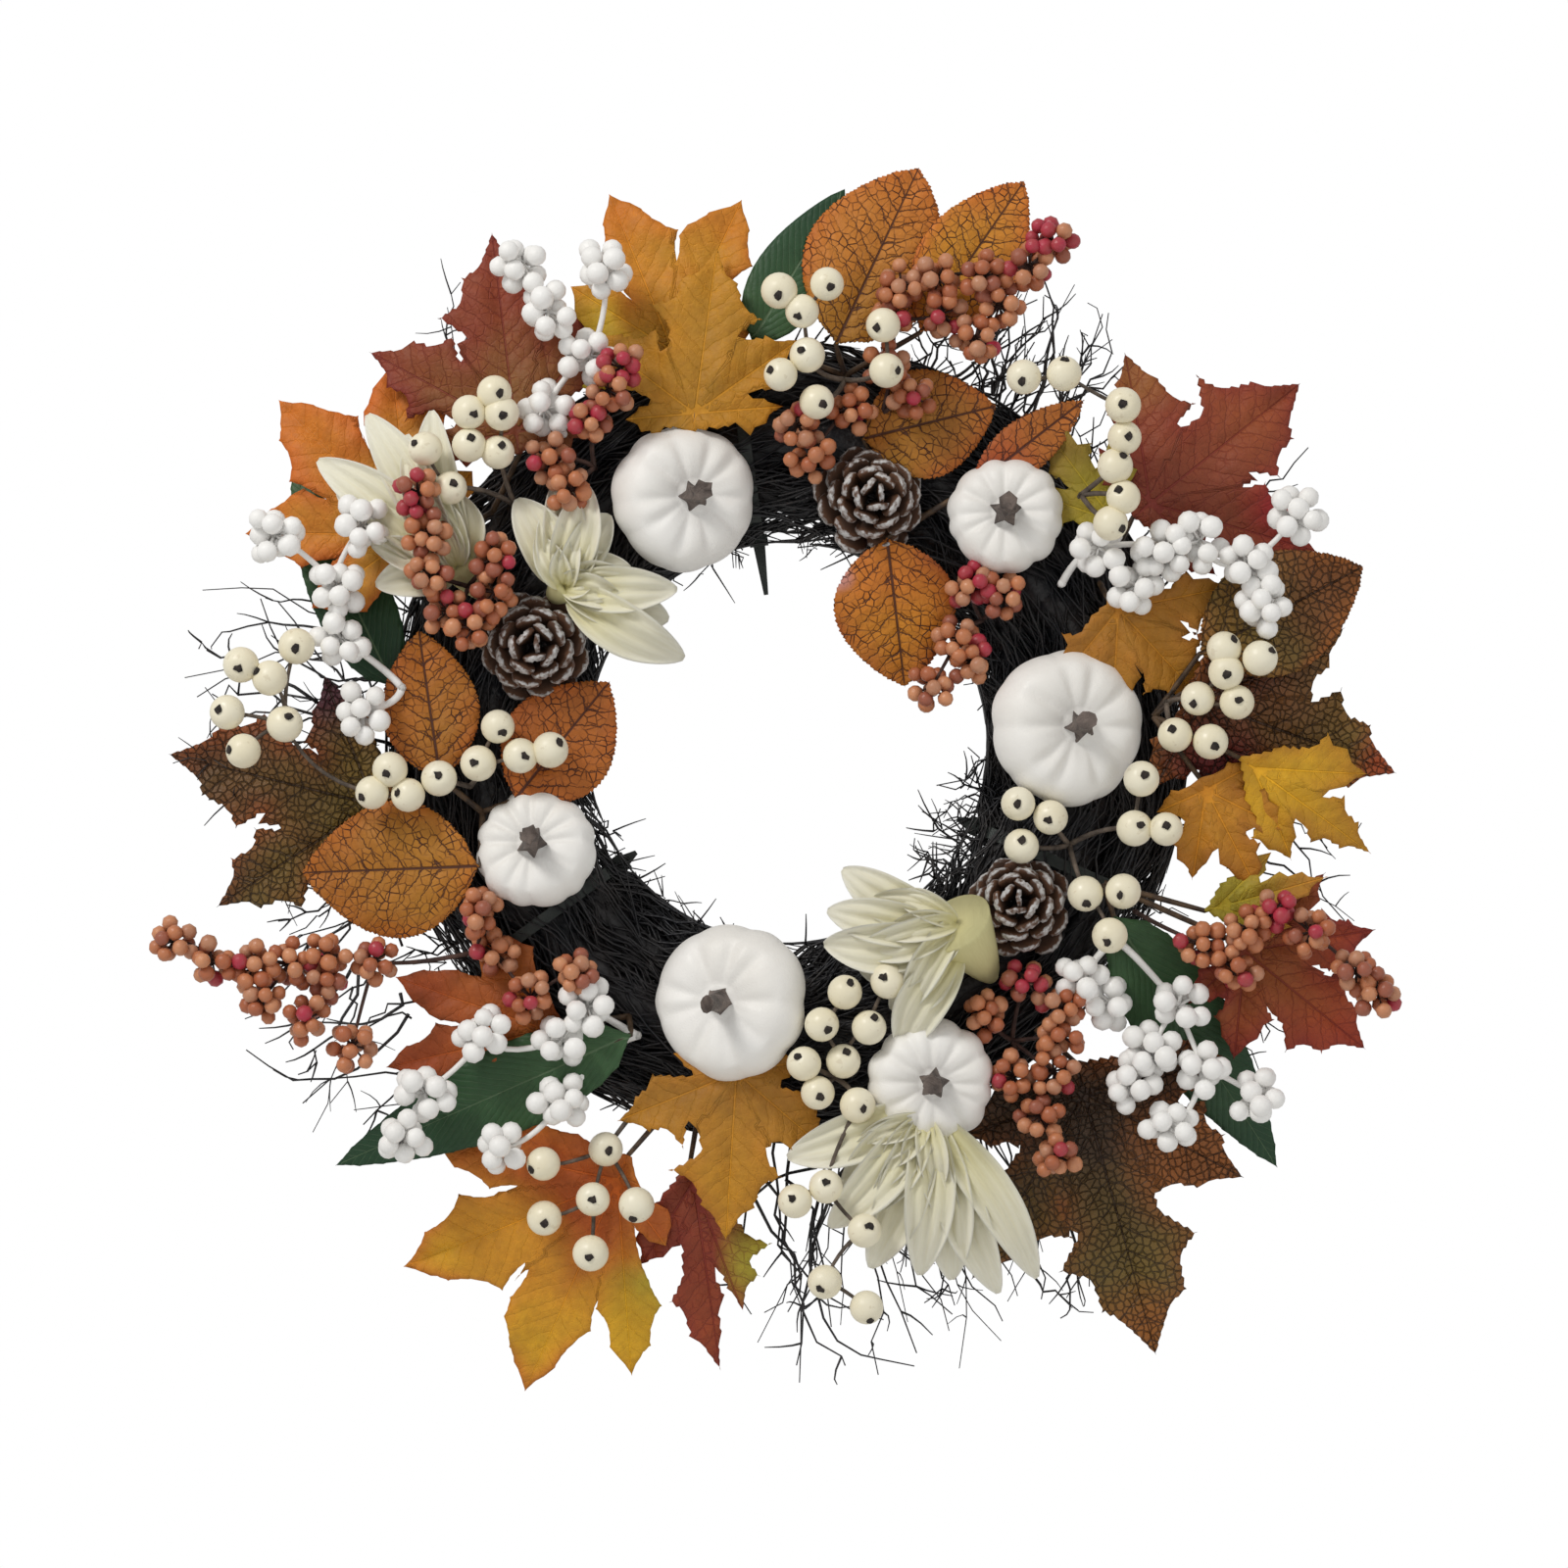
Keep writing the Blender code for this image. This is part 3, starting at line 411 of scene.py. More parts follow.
# %% The twig mat
def node_tree(name, inputs):
    """An empty Geometry Nodes tree with named inputs after its geometry."""
    made = bpy.data.node_groups.new(name, "GeometryNodeTree")
    made.interface.new_socket("Geometry", in_out="INPUT", socket_type="NodeSocketGeometry")
    for label, kind, value in inputs:
        socket = made.interface.new_socket(label, in_out="INPUT", socket_type=kind)
        if value is not None:
            socket.default_value = value
    made.interface.new_socket("Geometry", in_out="OUTPUT", socket_type="NodeSocketGeometry")
    return made, made.nodes.new("NodeGroupInput").outputs, made.nodes.new("NodeGroupOutput").inputs


def baked(name, made, values, mesh=None):
    """Runs a Geometry Nodes tree on a mesh and returns the plain mesh that it makes."""
    holder = bpy.data.objects.new(name + "_maker", mesh or bpy.data.meshes.new(name + "_seed"))
    bpy.context.scene.collection.objects.link(holder)
    modifier = holder.modifiers.new("maker", "NODES")
    modifier.node_group = made
    sockets = {item.name: item.identifier for item in made.interface.items_tree if item.in_out == "INPUT"}
    for label, value in values.items():
        modifier[sockets[label]] = value
    holder.update_tag()
    seen_now = holder.evaluated_get(bpy.context.evaluated_depsgraph_get())
    result_mesh = bpy.data.meshes.new_from_object(seen_now)
    bpy.data.objects.remove(holder)
    result_mesh.name = name
    set_finish = result_mesh.materials[-1]
    result_mesh.materials.clear()
    result_mesh.materials.append(set_finish)
    result_mesh.polygons.foreach_set("material_index", [0] * len(result_mesh.polygons))
    return result_mesh


def closed_tree(made, geometry, given, result):
    """The end of a tree: real meshes with the finish that was asked for."""
    real = node(made, "GeometryNodeRealizeInstances", {"Geometry": geometry})
    dressed = node(made, "GeometryNodeSetMaterial",
                   {"Geometry": real, "Material": given["Material"]})
    made.links.new(dressed.outputs[0], result[0])


def random_value(made, low, high, seed, kind="FLOAT"):
    """A random number or vector for each item."""
    number = made.nodes.new("FunctionNodeRandomValue")
    number.data_type = kind
    first = {"FLOAT": 2, "FLOAT_VECTOR": 0}[kind]
    number.inputs[first].default_value = low
    number.inputs[first + 1].default_value = high
    if isinstance(seed, bpy.types.NodeSocket):
        made.links.new(seed, number.inputs["Seed"])
    else:
        number.inputs["Seed"].default_value = seed
    return number.outputs[0 if kind == "FLOAT_VECTOR" else 1]


twig_tree, given, result = node_tree("twig_bundle", [
    ("Twigs", "NodeSocketInt", 400), ("Start", FLOAT, 0.0), ("Sweep", FLOAT, 2.0), ("Radius", FLOAT, 0.12),
    ("Half Width", FLOAT, 0.038), ("Back", FLOAT, 0.005), ("Crown", FLOAT, 0.035),
    ("Thickness", FLOAT, 0.0006), ("Length", FLOAT, 0.075), ("Centre Height", FLOAT, 0.0),
    ("Material", "NodeSocketMaterial", None)])
spots = node(twig_tree, "GeometryNodePoints", {"Count": given["Twigs"]})
length_round = times(given["Sweep"], given["Radius"])
s = times(random_value(twig_tree, 0.05, 0.95, 1), length_round)
across = times(random_value(twig_tree, -0.97, 0.97, 2), given["Half Width"])
share = ratio(across, given["Half Width"])
arch = maths("SQRT", minus(1.02, times(share, share)))
rise = times(arch, given["Crown"])
deep = random_value(twig_tree, -0.1, 0.96, 3)
depth = maths("MAXIMUM", times(deep, rise), times(given["Back"], -0.9))
laid = node(twig_tree, "ShaderNodeCombineXYZ", {"X": s, "Y": depth, "Z": across}).outputs[0]
set_spots = node(twig_tree, "GeometryNodeSetPosition", {"Geometry": spots, "Position": laid})
line = node(twig_tree, "GeometryNodeCurvePrimitiveLine", {"Start": (-0.5, 0, 0), "End": (0.5, 0, 0)})
steps = node(twig_tree, "GeometryNodeResampleCurve", {"Curve": line, "Count": 9})
turns = random_value(twig_tree, (-0.5, -0.42, -0.20), (0.5, 0.42, 0.20), 4, "FLOAT_VECTOR")
sizes = times(random_value(twig_tree, 0.55, 1.3, 5), given["Length"])
copies = node(twig_tree, "GeometryNodeInstanceOnPoints",
              {"Points": set_spots, "Instance": steps, "Rotation": turns,
               "Scale": sizes})
loose = node(twig_tree, "GeometryNodeRealizeInstances", {"Geometry": copies})
wave = node(twig_tree, "ShaderNodeTexNoise", {"Scale": 26.0, "Detail": 2.0})
shake = node(twig_tree, "ShaderNodeVectorMath", {0: wave.outputs["Color"], 1: (0.5, 0.5, 0.5)},
             operation="SUBTRACT")
shake_size = node(twig_tree, "ShaderNodeVectorMath", {0: shake, 1: (0.0, 0.016, 0.030)},
                  operation="MULTIPLY")
wiggled = node(twig_tree, "GeometryNodeSetPosition",
               {"Geometry": loose, "Offset": shake_size})
here = node(twig_tree, "ShaderNodeSeparateXYZ",
            {0: node(twig_tree, "GeometryNodeInputPosition").outputs[0]})
turn = plus(given["Start"], ratio(here.outputs["X"], given["Radius"]))
side_cap = times(given["Half Width"], 1.06)
side_kept = maths("MINIMUM", here.outputs["Z"], side_cap)
side_kept = maths("MAXIMUM", side_kept, times(side_cap, -1.0))
reach = plus(given["Radius"], side_kept)
kept = maths("MINIMUM", maths("MAXIMUM", here.outputs["Y"], -0.0046), given["Crown"])
round_place = node(twig_tree, "ShaderNodeCombineXYZ", {
    "X": times(maths("SINE", turn), reach),
    "Y": times(kept, -1.0),
    "Z": plus(given["Centre Height"],
               times(maths("COSINE", turn), reach))})
round_ring = node(twig_tree, "GeometryNodeSetPosition", {"Geometry": wiggled, "Position": round_place})
taper = node(twig_tree, "GeometryNodeSplineParameter")
thin = span(maths("ABSOLUTE", minus(taper.outputs["Factor"], 0.4)), 0.1, 0.6, 1.0, 0.25)
bark_radius = times(given["Thickness"], thin)
outline = node(twig_tree, "GeometryNodeCurvePrimitiveCircle", {"Resolution": 4, "Radius": 1.0})
swept = node(twig_tree, "GeometryNodeCurveToMesh",
             {"Curve": round_ring, "Profile Curve": outline, "Scale": bark_radius,
              "Fill Caps": True})
closed_tree(twig_tree, swept, given, result)

BUNDLES = {"twig_bundle_right": 0, "twig_bundle_bottom": 120, "twig_bundle_left": 240}
TWIGS_IN_BUNDLE, BUNDLE_SWEEP = 2300, 120
MAT_LOW, MAT_HIGH = (Vector(corner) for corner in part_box("twig_bundle_left"))
for name, clock in BUNDLES.items():
    mesh = baked(name + "_twigs", twig_tree, {
        "Twigs": TWIGS_IN_BUNDLE, "Start": math.radians(clock), "Sweep": math.radians(BUNDLE_SWEEP),
        "Radius": HOOP_RADIUS, "Crown": -MAT_LOW.y, "Back": MAT_HIGH.y, "Centre Height": CENTRE.z,
        "Material": twig_finish})
    finished(name + "_twigs", mesh, [name], turn=False)
    print(name, len(mesh.polygons), "faces")

# %% [markdown]
# The middle of the mat is pressed so tight that no light comes through it. Three rough cords of bark lie
# side by side inside the twigs for that, and are seen only as the dark behind them: they stand for the
# packed black twigs there and for the painted shade among them.

# %% The dark middle of the mat, with its painted shade
CORDS = ((-20, 0.014, 0.0085), (0, 0.018, 0.0120), (20, 0.014, 0.0085))
LUMPS_PER_METRE, LUMP_HEIGHT = 110, 0.0035
core = Gather()
for out, depth, radius in CORDS:
    for first in range(0, 360, 60):
        path = [on_ring((first + 3 * n, out), depth) for n in range(22)]
        points, faces = tube(path, [radius] * len(path), 16)
        points = [point + noise.noise_vector(point * LUMPS_PER_METRE) * LUMP_HEIGHT for point in points]
        core.add(points, faces, twig_finish)
# A black body that gives the packed twigs and the painted shade deep in the mat.
piece = core.make("twig_core_and_shade", "twig_bark", [])
print("pressed middle:", len(piece.data.polygons), "faces")

# %% [markdown]
# ## White pumpkins
# The small pumpkins are cast foam with a satin white coat. Seen from the stem they are a round cushion
# with soft ribs and a dimple in the middle, and no two are quite the same. The shape follows one rule,
# so it is a turned body: a squashed round profile whose radius dips in each groove between two ribs.

# %% The white coat
coat_finish, tree, shader, where = new_material("white_coat", 0.42, specular=0.4)
cloudy = placed(tree, mottle, {"Place": where, "Size": 32.0})
pores = placed(tree, mottle, {"Place": where, "Size": 150.0})
coat = mixed(cloudy["Blotch"], (0.88, 0.86, 0.82), (0.94, 0.93, 0.905))
tree.links.new(coat, shader.inputs["Base Color"])
tree.links.new(span(cloudy["Fleck"], 0, 1, 0.36, 0.52), shader.inputs["Roughness"])
bumped(shader, plus(cloudy["Blotch"], times(pores["Fleck"], 0.25)), 0.35, 0.0008)

# %% The pumpkins
PUMPKINS = {
    "top_left": ((337, -16), 0.059, (20, 0), 10), "top_right": ((44, 4), 0.047, (-4, 6), 12),
    "right": ((87, -10), 0.063, (19, 1), 10), "left": ((247, -13), 0.049, (-7, 14), 12),
    "bottom": ((192, -16), 0.063, (-22, 4), 9), "low_right": ((157, 25), 0.051, (4, -1), 12)}
PUMPKIN_HEIGHT = 0.62
LARGE_PUMPKIN = 0.055
GROOVE_DEPTHS = {"large": 0.036, "small": 0.058}
GROOVE_WIDTH, CREST_WIDTH, DIMPLE_DEPTH, CREST_HEIGHT = 0.24, 0.22, 0.15, 0.05
ROWS, COLUMNS = 56, 144
pumpkin_tops = {}
for name, (spot, diameter, tilt, ribs) in PUMPKINS.items():
    radius, height = diameter / 2, diameter * PUMPKIN_HEIGHT
    axes = leaning(tilt)
    middle = seated("pumpkin_" + name, spot, reach=radius / MM)
    middle.y = middle_depth("pumpkin_" + name) + 0.0012 * abs(tilt[0]) / 20
    random.seed(name)
    starts = [random.uniform(-0.16, 0.16) for _ in range(ribs)]
    groove_depth = GROOVE_DEPTHS["large" if diameter > LARGE_PUMPKIN else "small"]
    depths = [groove_depth * random.uniform(0.6, 1.25) for _ in range(ribs)]
    profile = []
    for row in range(ROWS):
        lean = math.radians(4 + 170 * row / (ROWS - 1))
        profile.append((radius * math.sin(lean) ** 0.72, -height / 2 * math.cos(lean)))

    def ribbed(turn, share, reach, ribs=ribs, starts=starts, depths=depths, radius=radius, height=height):
        place = turn / math.tau * ribs
        groove = min(range(ribs), key=lambda n: abs((place - n - starts[n] + ribs / 2) % ribs - ribs / 2))
        off = abs((place - groove - starts[groove] + ribs / 2) % ribs - ribs / 2)
        dip = depths[groove] * math.exp(-(off / GROOVE_WIDTH) ** 1.4)
        bulge = 0.016 * math.sin(3 * turn + starts[0] * 20) + 0.010 * math.sin(5 * turn + starts[1] * 30)
        inward = max(0.0, share - 0.72) / 0.28
        dimple = -height * DIMPLE_DEPTH * inward ** 2.2
        crest = -height * CREST_HEIGHT * math.exp(-(off / CREST_WIDTH) ** 2) * min(1, inward * 1.6) * (
            1 - inward) * 2.2
        return reach * (1 - dip * min(1, (1 - inward) * 1.5 + 0.25) + bulge), dimple + crest

    pumpkin = Gather()
    pumpkin.add(*turned(middle, axes, profile, COLUMNS, ribbed), coat_finish)
    pumpkin.make("pumpkin_skin_" + name, "pumpkin_skin", ["pumpkin_" + name])
    pumpkin_tops[name] = (middle + axes[2] * height * 0.36, axes)
print("pumpkins:", len(PUMPKINS), "of", ROWS * COLUMNS, "points")

# %% [markdown]
# ## Pumpkin stems
# Each stem is cut like a real one: five sharp ridges that spread into a star at the foot, twist as they
# rise, and end in a slanted cut. A turned body with a star for its section does this, with flat faces.

# %% The stem's dark brown
stem_finish = mottled_finish("stem_brown", 0.55, 160.0, (0.055, 0.042, 0.037), (0.19, 0.15, 0.13),
                             (0.5, 0.0006),
                             specular=0.35)

# %% The stems
STEM_SHARE = 0.80
STEM_LEANS = {"top_left": 35, "top_right": 80, "right": 110, "left": 60, "bottom": 200, "low_right": 150}
for name, (foot, axes) in pumpkin_tops.items():
    across, over, axis = axes
    lean = math.radians(STEM_LEANS[name])
    front_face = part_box("pumpkin_stem_" + name)[0][1]
    rise = max(0.008, (foot.y - front_face) * STEM_SHARE)
    upward = (axis + FRONT * 2.5).normalized()
    sideways = (across * math.cos(lean) + over * math.sin(lean))
    points = []
    levels = ((0.0, 0.0062, 0.26), (0.10, 0.0058, 0.26), (0.26, 0.0045, 0.24), (0.50, 0.0038, 0.22),
              (0.78, 0.0036, 0.20), (1.0, 0.0040, 0.18))
    for level, reach, star in levels:
        centre = foot - axis * 0.0012 + upward * rise * level + sideways * 0.0022 * level ** 1.4
        for column in range(10):
            turn = math.tau * column / 10 + level * 1.3 + lean
            size = reach * (1 - star * (column % 2) + 0.12 * math.sin(3.1 * column + lean + 2 * level))
            slant = 0.0022 * math.cos(turn) if level == 1.0 else 0
            points.append(centre + (across * math.cos(turn) + over * math.sin(turn)) * size + axis * slant)
    faces = ring_faces(len(levels), 10)
    faces.append(tuple(reversed(range(10))))
    top = len(points) - 10
    points.append(sum(points[top:], Vector()) / 10 - axis * 0.0007)
    faces += [(top + n, top + (n + 1) % 10, top + 10) for n in range(10)]
    stem = Gather()
    stem.add(points, faces, stem_finish)
    piece = stem.make("stem_" + name, "pumpkin_stem", ["pumpkin_stem_" + name])
    piece.data.polygons.foreach_set("use_smooth", [False] * len(piece.data.polygons))

# %% [markdown]
# ## Frosted pine cones
# The cones face forward, so they show as rosettes: small upright scales in the middle and wide, flat
# ones at the rim. Cone scales follow the golden angle. A Geometry Nodes tree sets points on that spiral
# and puts one thick, rounded scale on each, and stores how near its tip each point is, which the
# finish reads to put white frost on the rims and to darken each scale toward its base, almost to
# black: painted shade where the scales overlap, on wood that is darker there.

# %% Brown scales with frost
cone_finish, tree, shader, where = new_material("frosted_cone", 0.6, specular=0.4)
tip = node(tree, "ShaderNodeAttribute", attribute_name="tip").outputs["Fac"]
woody = placed(tree, mottle, {"Place": where, "Size": 110.0})
grain = placed(tree, mottle, {"Place": where, "Size": 420.0})
# Toward the base of each scale the wood goes almost black: painted shade where the scales overlap, on wood
# that is darker there.
wood_with_base_shade = mixed(span(tip, 0.15, 0.8), (0.010, 0.006, 0.004), (0.150, 0.066, 0.032))
wood = mixed(times(woody["Blotch"], 0.55), wood_with_base_shade, (0.05, 0.028, 0.02))
rim = plus(tip, times(minus(grain["Blotch"], 0.5), 0.22))
frost = span(rim, 0.88, 1.03, 0.0, 0.85)
tree.links.new(mixed(frost, wood, (0.80, 0.80, 0.80)), shader.inputs["Base Color"])
tree.links.new(span(frost, 0, 1, 0.42, 0.85), shader.inputs["Roughness"])
bumped(shader, plus(grain["Fleck"], times(frost, 0.8)), 0.5, 0.0008)

# %% The cones
GOLDEN_ANGLE, SCALES_ON_CONE, CONE_HEIGHT = 137.508, 32, 0.8
cone_tree, given, result = node_tree("pine_cone", [
    ("Scales", "NodeSocketInt", 60), ("Radius", FLOAT, 0.022), ("Height", FLOAT, 0.034),
    ("Seed", "NodeSocketInt", 1), ("Material", "NodeSocketMaterial", None)])
spots = node(cone_tree, "GeometryNodePoints", {"Count": given["Scales"]})
index = node(cone_tree, "GeometryNodeInputIndex").outputs[0]
part = ratio(plus(index, 0.15), given["Scales"])
root = maths("SQRT", part)
golden = times(index, math.radians(GOLDEN_ANGLE))
jolt = random_value(cone_tree, -0.09, 0.09, given["Seed"])
angle = plus(golden, jolt)
out = times(times(root, given["Radius"]), 0.44)
fall = times(maths("POWER", root, 2.6), -0.72)
level = times(plus(fall, 0.34), given["Height"])
spot = node(cone_tree, "ShaderNodeCombineXYZ", {
    "X": times(maths("COSINE", angle), out),
    "Y": times(maths("SINE", angle), out), "Z": level}).outputs[0]
on_spiral = node(cone_tree, "GeometryNodeSetPosition", {"Geometry": spots, "Position": spot})
slab = node(cone_tree, "GeometryNodeMeshCube",
            {"Size": (1, 1, 1), "Vertices X": 7, "Vertices Y": 5, "Vertices Z": 2})
seat = node(cone_tree, "ShaderNodeSeparateXYZ",
            {0: node(cone_tree, "GeometryNodeInputPosition").outputs[0]})
run = plus(seat.outputs["X"], 0.5)
side = times(seat.outputs["Y"], 2.0)
round_tip = maths("SQRT", minus(1.03, maths("POWER", maths("MAXIMUM", span(run, 0.5, 1.0), 0.0), 2.4)))
width = times(round_tip, span(run, 0.0, 0.62, 0.30, 1.0))
thick = times(seat.outputs["Z"], span(run, 0.2, 1.0, 0.10, 0.26))
crown = times(minus(1.0, times(side, side)), 0.07)
curl = times(maths("POWER", run, 2.0), 0.20)
formed = node(cone_tree, "ShaderNodeCombineXYZ", {
    "X": run, "Y": times(times(side, width), 0.50),
    "Z": plus(plus(thick, crown), curl)}).outputs[0]
edge_side = maths("POWER", maths("ABSOLUTE", side), 3.0)
tipness = maths("MAXIMUM", maths("POWER", run, 1.4), times(edge_side, span(run, 0.25, 0.7, 0.3, 0.95)))
held = node(cone_tree, "GeometryNodeStoreNamedAttribute",
            {"Geometry": slab, "Name": "tip", "Value": tipness}, data_type="FLOAT",
            domain="POINT")
shaped = node(cone_tree, "GeometryNodeSetPosition", {"Geometry": held, "Position": formed})
open_up = span(root, 0.0, 1.0, math.radians(-74), math.radians(-4))
facing = node(cone_tree, "ShaderNodeCombineXYZ", {"X": 0.0, "Y": open_up, "Z": angle}).outputs[0]
scale_size = times(given["Radius"], span(root, 0.0, 1.0, 0.34, 0.66))
copies = node(cone_tree, "GeometryNodeInstanceOnPoints",
              {"Points": on_spiral, "Instance": shaped, "Rotation": facing,
               "Scale": scale_size})
closed_tree(cone_tree, copies, given, result)

CONES = {"top": ((19, -19), 0.044, (6, 4)), "left": ((291, -14), 0.045, (0, 0)),
         "low_right": ((125, -9), 0.041, (-8, 10))}
for number, (name, (spot, diameter, tilt)) in enumerate(CONES.items()):
    mesh = baked("cone_scales_" + name, cone_tree, {
        "Scales": SCALES_ON_CONE, "Radius": diameter / 2, "Height": diameter * CONE_HEIGHT,
        "Seed": number + 3,
        "Material": cone_finish})
    across, over, axis = leaning(tilt)
    middle = seated("pine_cone_" + name, spot, reach=diameter / 2 / MM)
    middle.y = middle_depth("pine_cone_" + name)
    mesh.transform(Matrix.Translation(middle) @ Matrix((across, over, axis)).transposed().to_4x4())
    finished("cone_scales_" + name, mesh, ["pine_cone_" + name])
    print(name, "cone:", len(mesh.polygons), "faces")

# %% [markdown]
# ## Cream berries
# The largest berries are ivory balls of 14 mm, each with a small dark crown where the flower was, on
# thin forked brown wires. The wires grow the way a spray does: each new berry hangs from the hub or the
# berry that gives it the shortest way back, so neighbours share a stem.

# %% Ivory skin, dark crown and brown wire
ivory_finish, tree, shader, where = new_material("ivory_berry", 0.34, specular=0.45)
wax = placed(tree, mottle, {"Place": where, "Size": 55.0})
specks = placed(tree, mottle, {"Place": where, "Size": 300.0})
ivory = mixed(wax["Blotch"], (0.86, 0.79, 0.59), (0.90, 0.85, 0.68))
spot_mask = span(specks["Blotch"], 0.86, 0.99, 0.0, 0.22)
tree.links.new(mixed(spot_mask, ivory, (0.45, 0.33, 0.18)), shader.inputs["Base Color"])
tree.links.new(span(wax["Fleck"], 0, 1, 0.28, 0.45), shader.inputs["Roughness"])
bumped(shader, wax["Fleck"], 0.12, 0.0005)
crown_finish = mottled_finish("dark_crown", 0.7, 700.0, (0.008, 0.006, 0.005), (0.05, 0.035, 0.028),
                              (0.6, 0.0004))
wire_finish = mottled_finish("brown_wire", 0.6, 240.0, (0.055, 0.040, 0.030), (0.17, 0.13, 0.10),
                             (0.5, 0.0005))


# %% Berries and forked stems
def round_berry(centre, radius, facing, columns=24, rows=14):
    """A ball with a small dimple where it faces."""
    axis = facing.normalized()
    across = axis.cross(UP if abs(axis.z) < 0.9 else SIDE).normalized()
    profile = [(radius * math.sin(math.pi * (row + 0.5) / rows),
                -radius * math.cos(math.pi * (row + 0.5) / rows))
               for row in range(rows)]

    def dimpled(_turn, share, reach):
        return reach, -radius * 0.10 * max(0.0, (share - 0.86) / 0.14) ** 1.5

    return turned(centre, (across, axis.cross(across), axis), profile, columns, dimpled)


def berry_crown(centre, radius, facing, seed):
    """The dried flower end: a ragged little husk that stands in the dimple."""
    axis = facing.normalized()
    across = axis.cross(UP if abs(axis.z) < 0.9 else SIDE).normalized()
    over = axis.cross(across)
    jitter = random.Random(seed)
    points = []
    for height, size in ((0.74, 0.16), (0.97, 0.24), (1.03, 0.17), (1.05, 0.06)):
        for column in range(8):
            turn = math.tau * column / 8 + seed
            ragged = size * jitter.uniform(0.62, 1.45)
            points.append(centre + (across * math.cos(turn) + over * math.sin(turn)) * radius * ragged
                          + axis * radius * height)
    faces = ring_faces(4, 8)
    faces += [tuple(reversed(range(8))), tuple(range(24, 32))]
    return points, faces


def branches(hub, berries):
    """For each berry, the hub or the berry nearer the hub that its stem grows from."""
    grown = [(hub, 0)]
    links = []
    for berry in sorted(berries, key=lambda spot: (spot - hub).length):
        parent, run = min(grown, key=lambda spot: (spot[0] - berry).length + 0.4 * spot[1])
        grown.append((berry, run + (parent - berry).length))
        links.append((parent, berry))
    return links


def forked_stems(gather, hub, links, thickness, finish, bow, seed, sides=6):
    """A bowed stem for each link, thinner toward its berry, and one from the hub back into the mat."""
    jitter = random.Random(seed)
    root = [hub + Vector((0, 0.002 + 0.004 * n, 0)) for n in range(4)]
    gather.add(*tube(root, [thickness * 1.2] * 4, sides), finish)
    for parent, berry in links:
        run = berry - parent
        sag = Vector((jitter.uniform(-1, 1), jitter.uniform(0.1, 0.9),
                      jitter.uniform(-1, 1))) * run.length * bow
        path = bent(parent + Vector((0, 0.002, 0)), berry, sag, 7)
        wide = thickness * (1.25 if parent == hub else 1.0)
        gather.add(*tube(path, [wide * (1 - 0.25 * n / 7) for n in range(8)], sides), finish)
        gather.add(*round_berry(path[0], wide * 1.15, FRONT, 8, 6), finish)


CREAM_SPRAYS = {
    "top_left": ((311, 22), (
        (320, 58), (316, 59), (319, 50), (315, 40), (309, 62), (313, 50), (307, 45))),
    "left": ((262, 6), (
        (281, 76), (278, 96), (277, 84), (273, 100), (272, 77), (269, 93), (263, 44), (262, 30),
        (264, 17), (266, 1), (273, -7), (267, -16), (268, -28), (266, 36))),
    "top": ((9, 24), (
        (359, 56), (2, 48), (5, 59), (13, 47), (3, 31), (359, 23), (5, 13), (15, 30))),
    "top_right": ((50, 30), (
        (33, 49), (37, 59), (45, 65), (48, 57), (50, 47), (54, 42), (56, 32))),
    "right": ((84, 30), (
        (78, 55), (80, 68), (81, 54), (84, 42), (85, 57), (89, 32), (90, 46))),
    "low_right": ((110, -2), (
        (105, -27), (106, -13), (96, 19), (114, -20), (104, 20), (103, 32), (117, 11), (114, 24),
        (121, 27))),
    "bottom": ((172, 13), (
        (167, -20), (157, -19), (173, -9), (164, -4), (177, 6), (170, 7), (175, 18), (169, 25),
        (179, 60), (175, 55), (171, 74), (176, 92), (172, 104))),
    "low_left": ((202, 34), (
        (204, 56), (203, 76), (198, 72), (207, 91), (201, 96), (210, 72))),
}
CREAM_RADIUS, CREAM_WIRE = 0.0070, 0.0009
total = 0
for name, (hub_place, spots) in CREAM_SPRAYS.items():
    solid = "cream_spray_" + name
    hub = seated(solid, hub_place, 4)
    jitter = random.Random(name)
    spray = Gather()
    middles = [seated(solid, spot, 7.2) for spot in spots]
    for number, middle in enumerate(middles):
        radius = CREAM_RADIUS * jitter.uniform(0.95, 1.04)
        facing = Vector((jitter.uniform(-0.45, 0.45), -1, jitter.uniform(-0.45, 0.45)))
        if jitter.random() < 0.25:
            facing += (middle - hub).normalized() * 1.6
        spray.add(*round_berry(middle, radius, facing), ivory_finish)
        spray.add(*berry_crown(middle, radius, facing, number), crown_finish)
    forked_stems(spray, hub, branches(hub, middles), CREAM_WIRE, wire_finish, 0.10, name)
    spray.make("cream_berries_" + name, "berry_cream", [solid])
    total += len(middles)
print("cream berries:", total)

# %% [markdown]
# ## White and orange berries
# White berries are beads of 9 mm in tight clusters on smooth white stems. Orange ones are smaller and
# pack into long heads in terracotta, peach and tan with a few crimson beads. There are hundreds, so a
# Geometry Nodes tree puts one low ball on each point. The points carry the size and the tone of their
# bead, and the finish reads the tone.

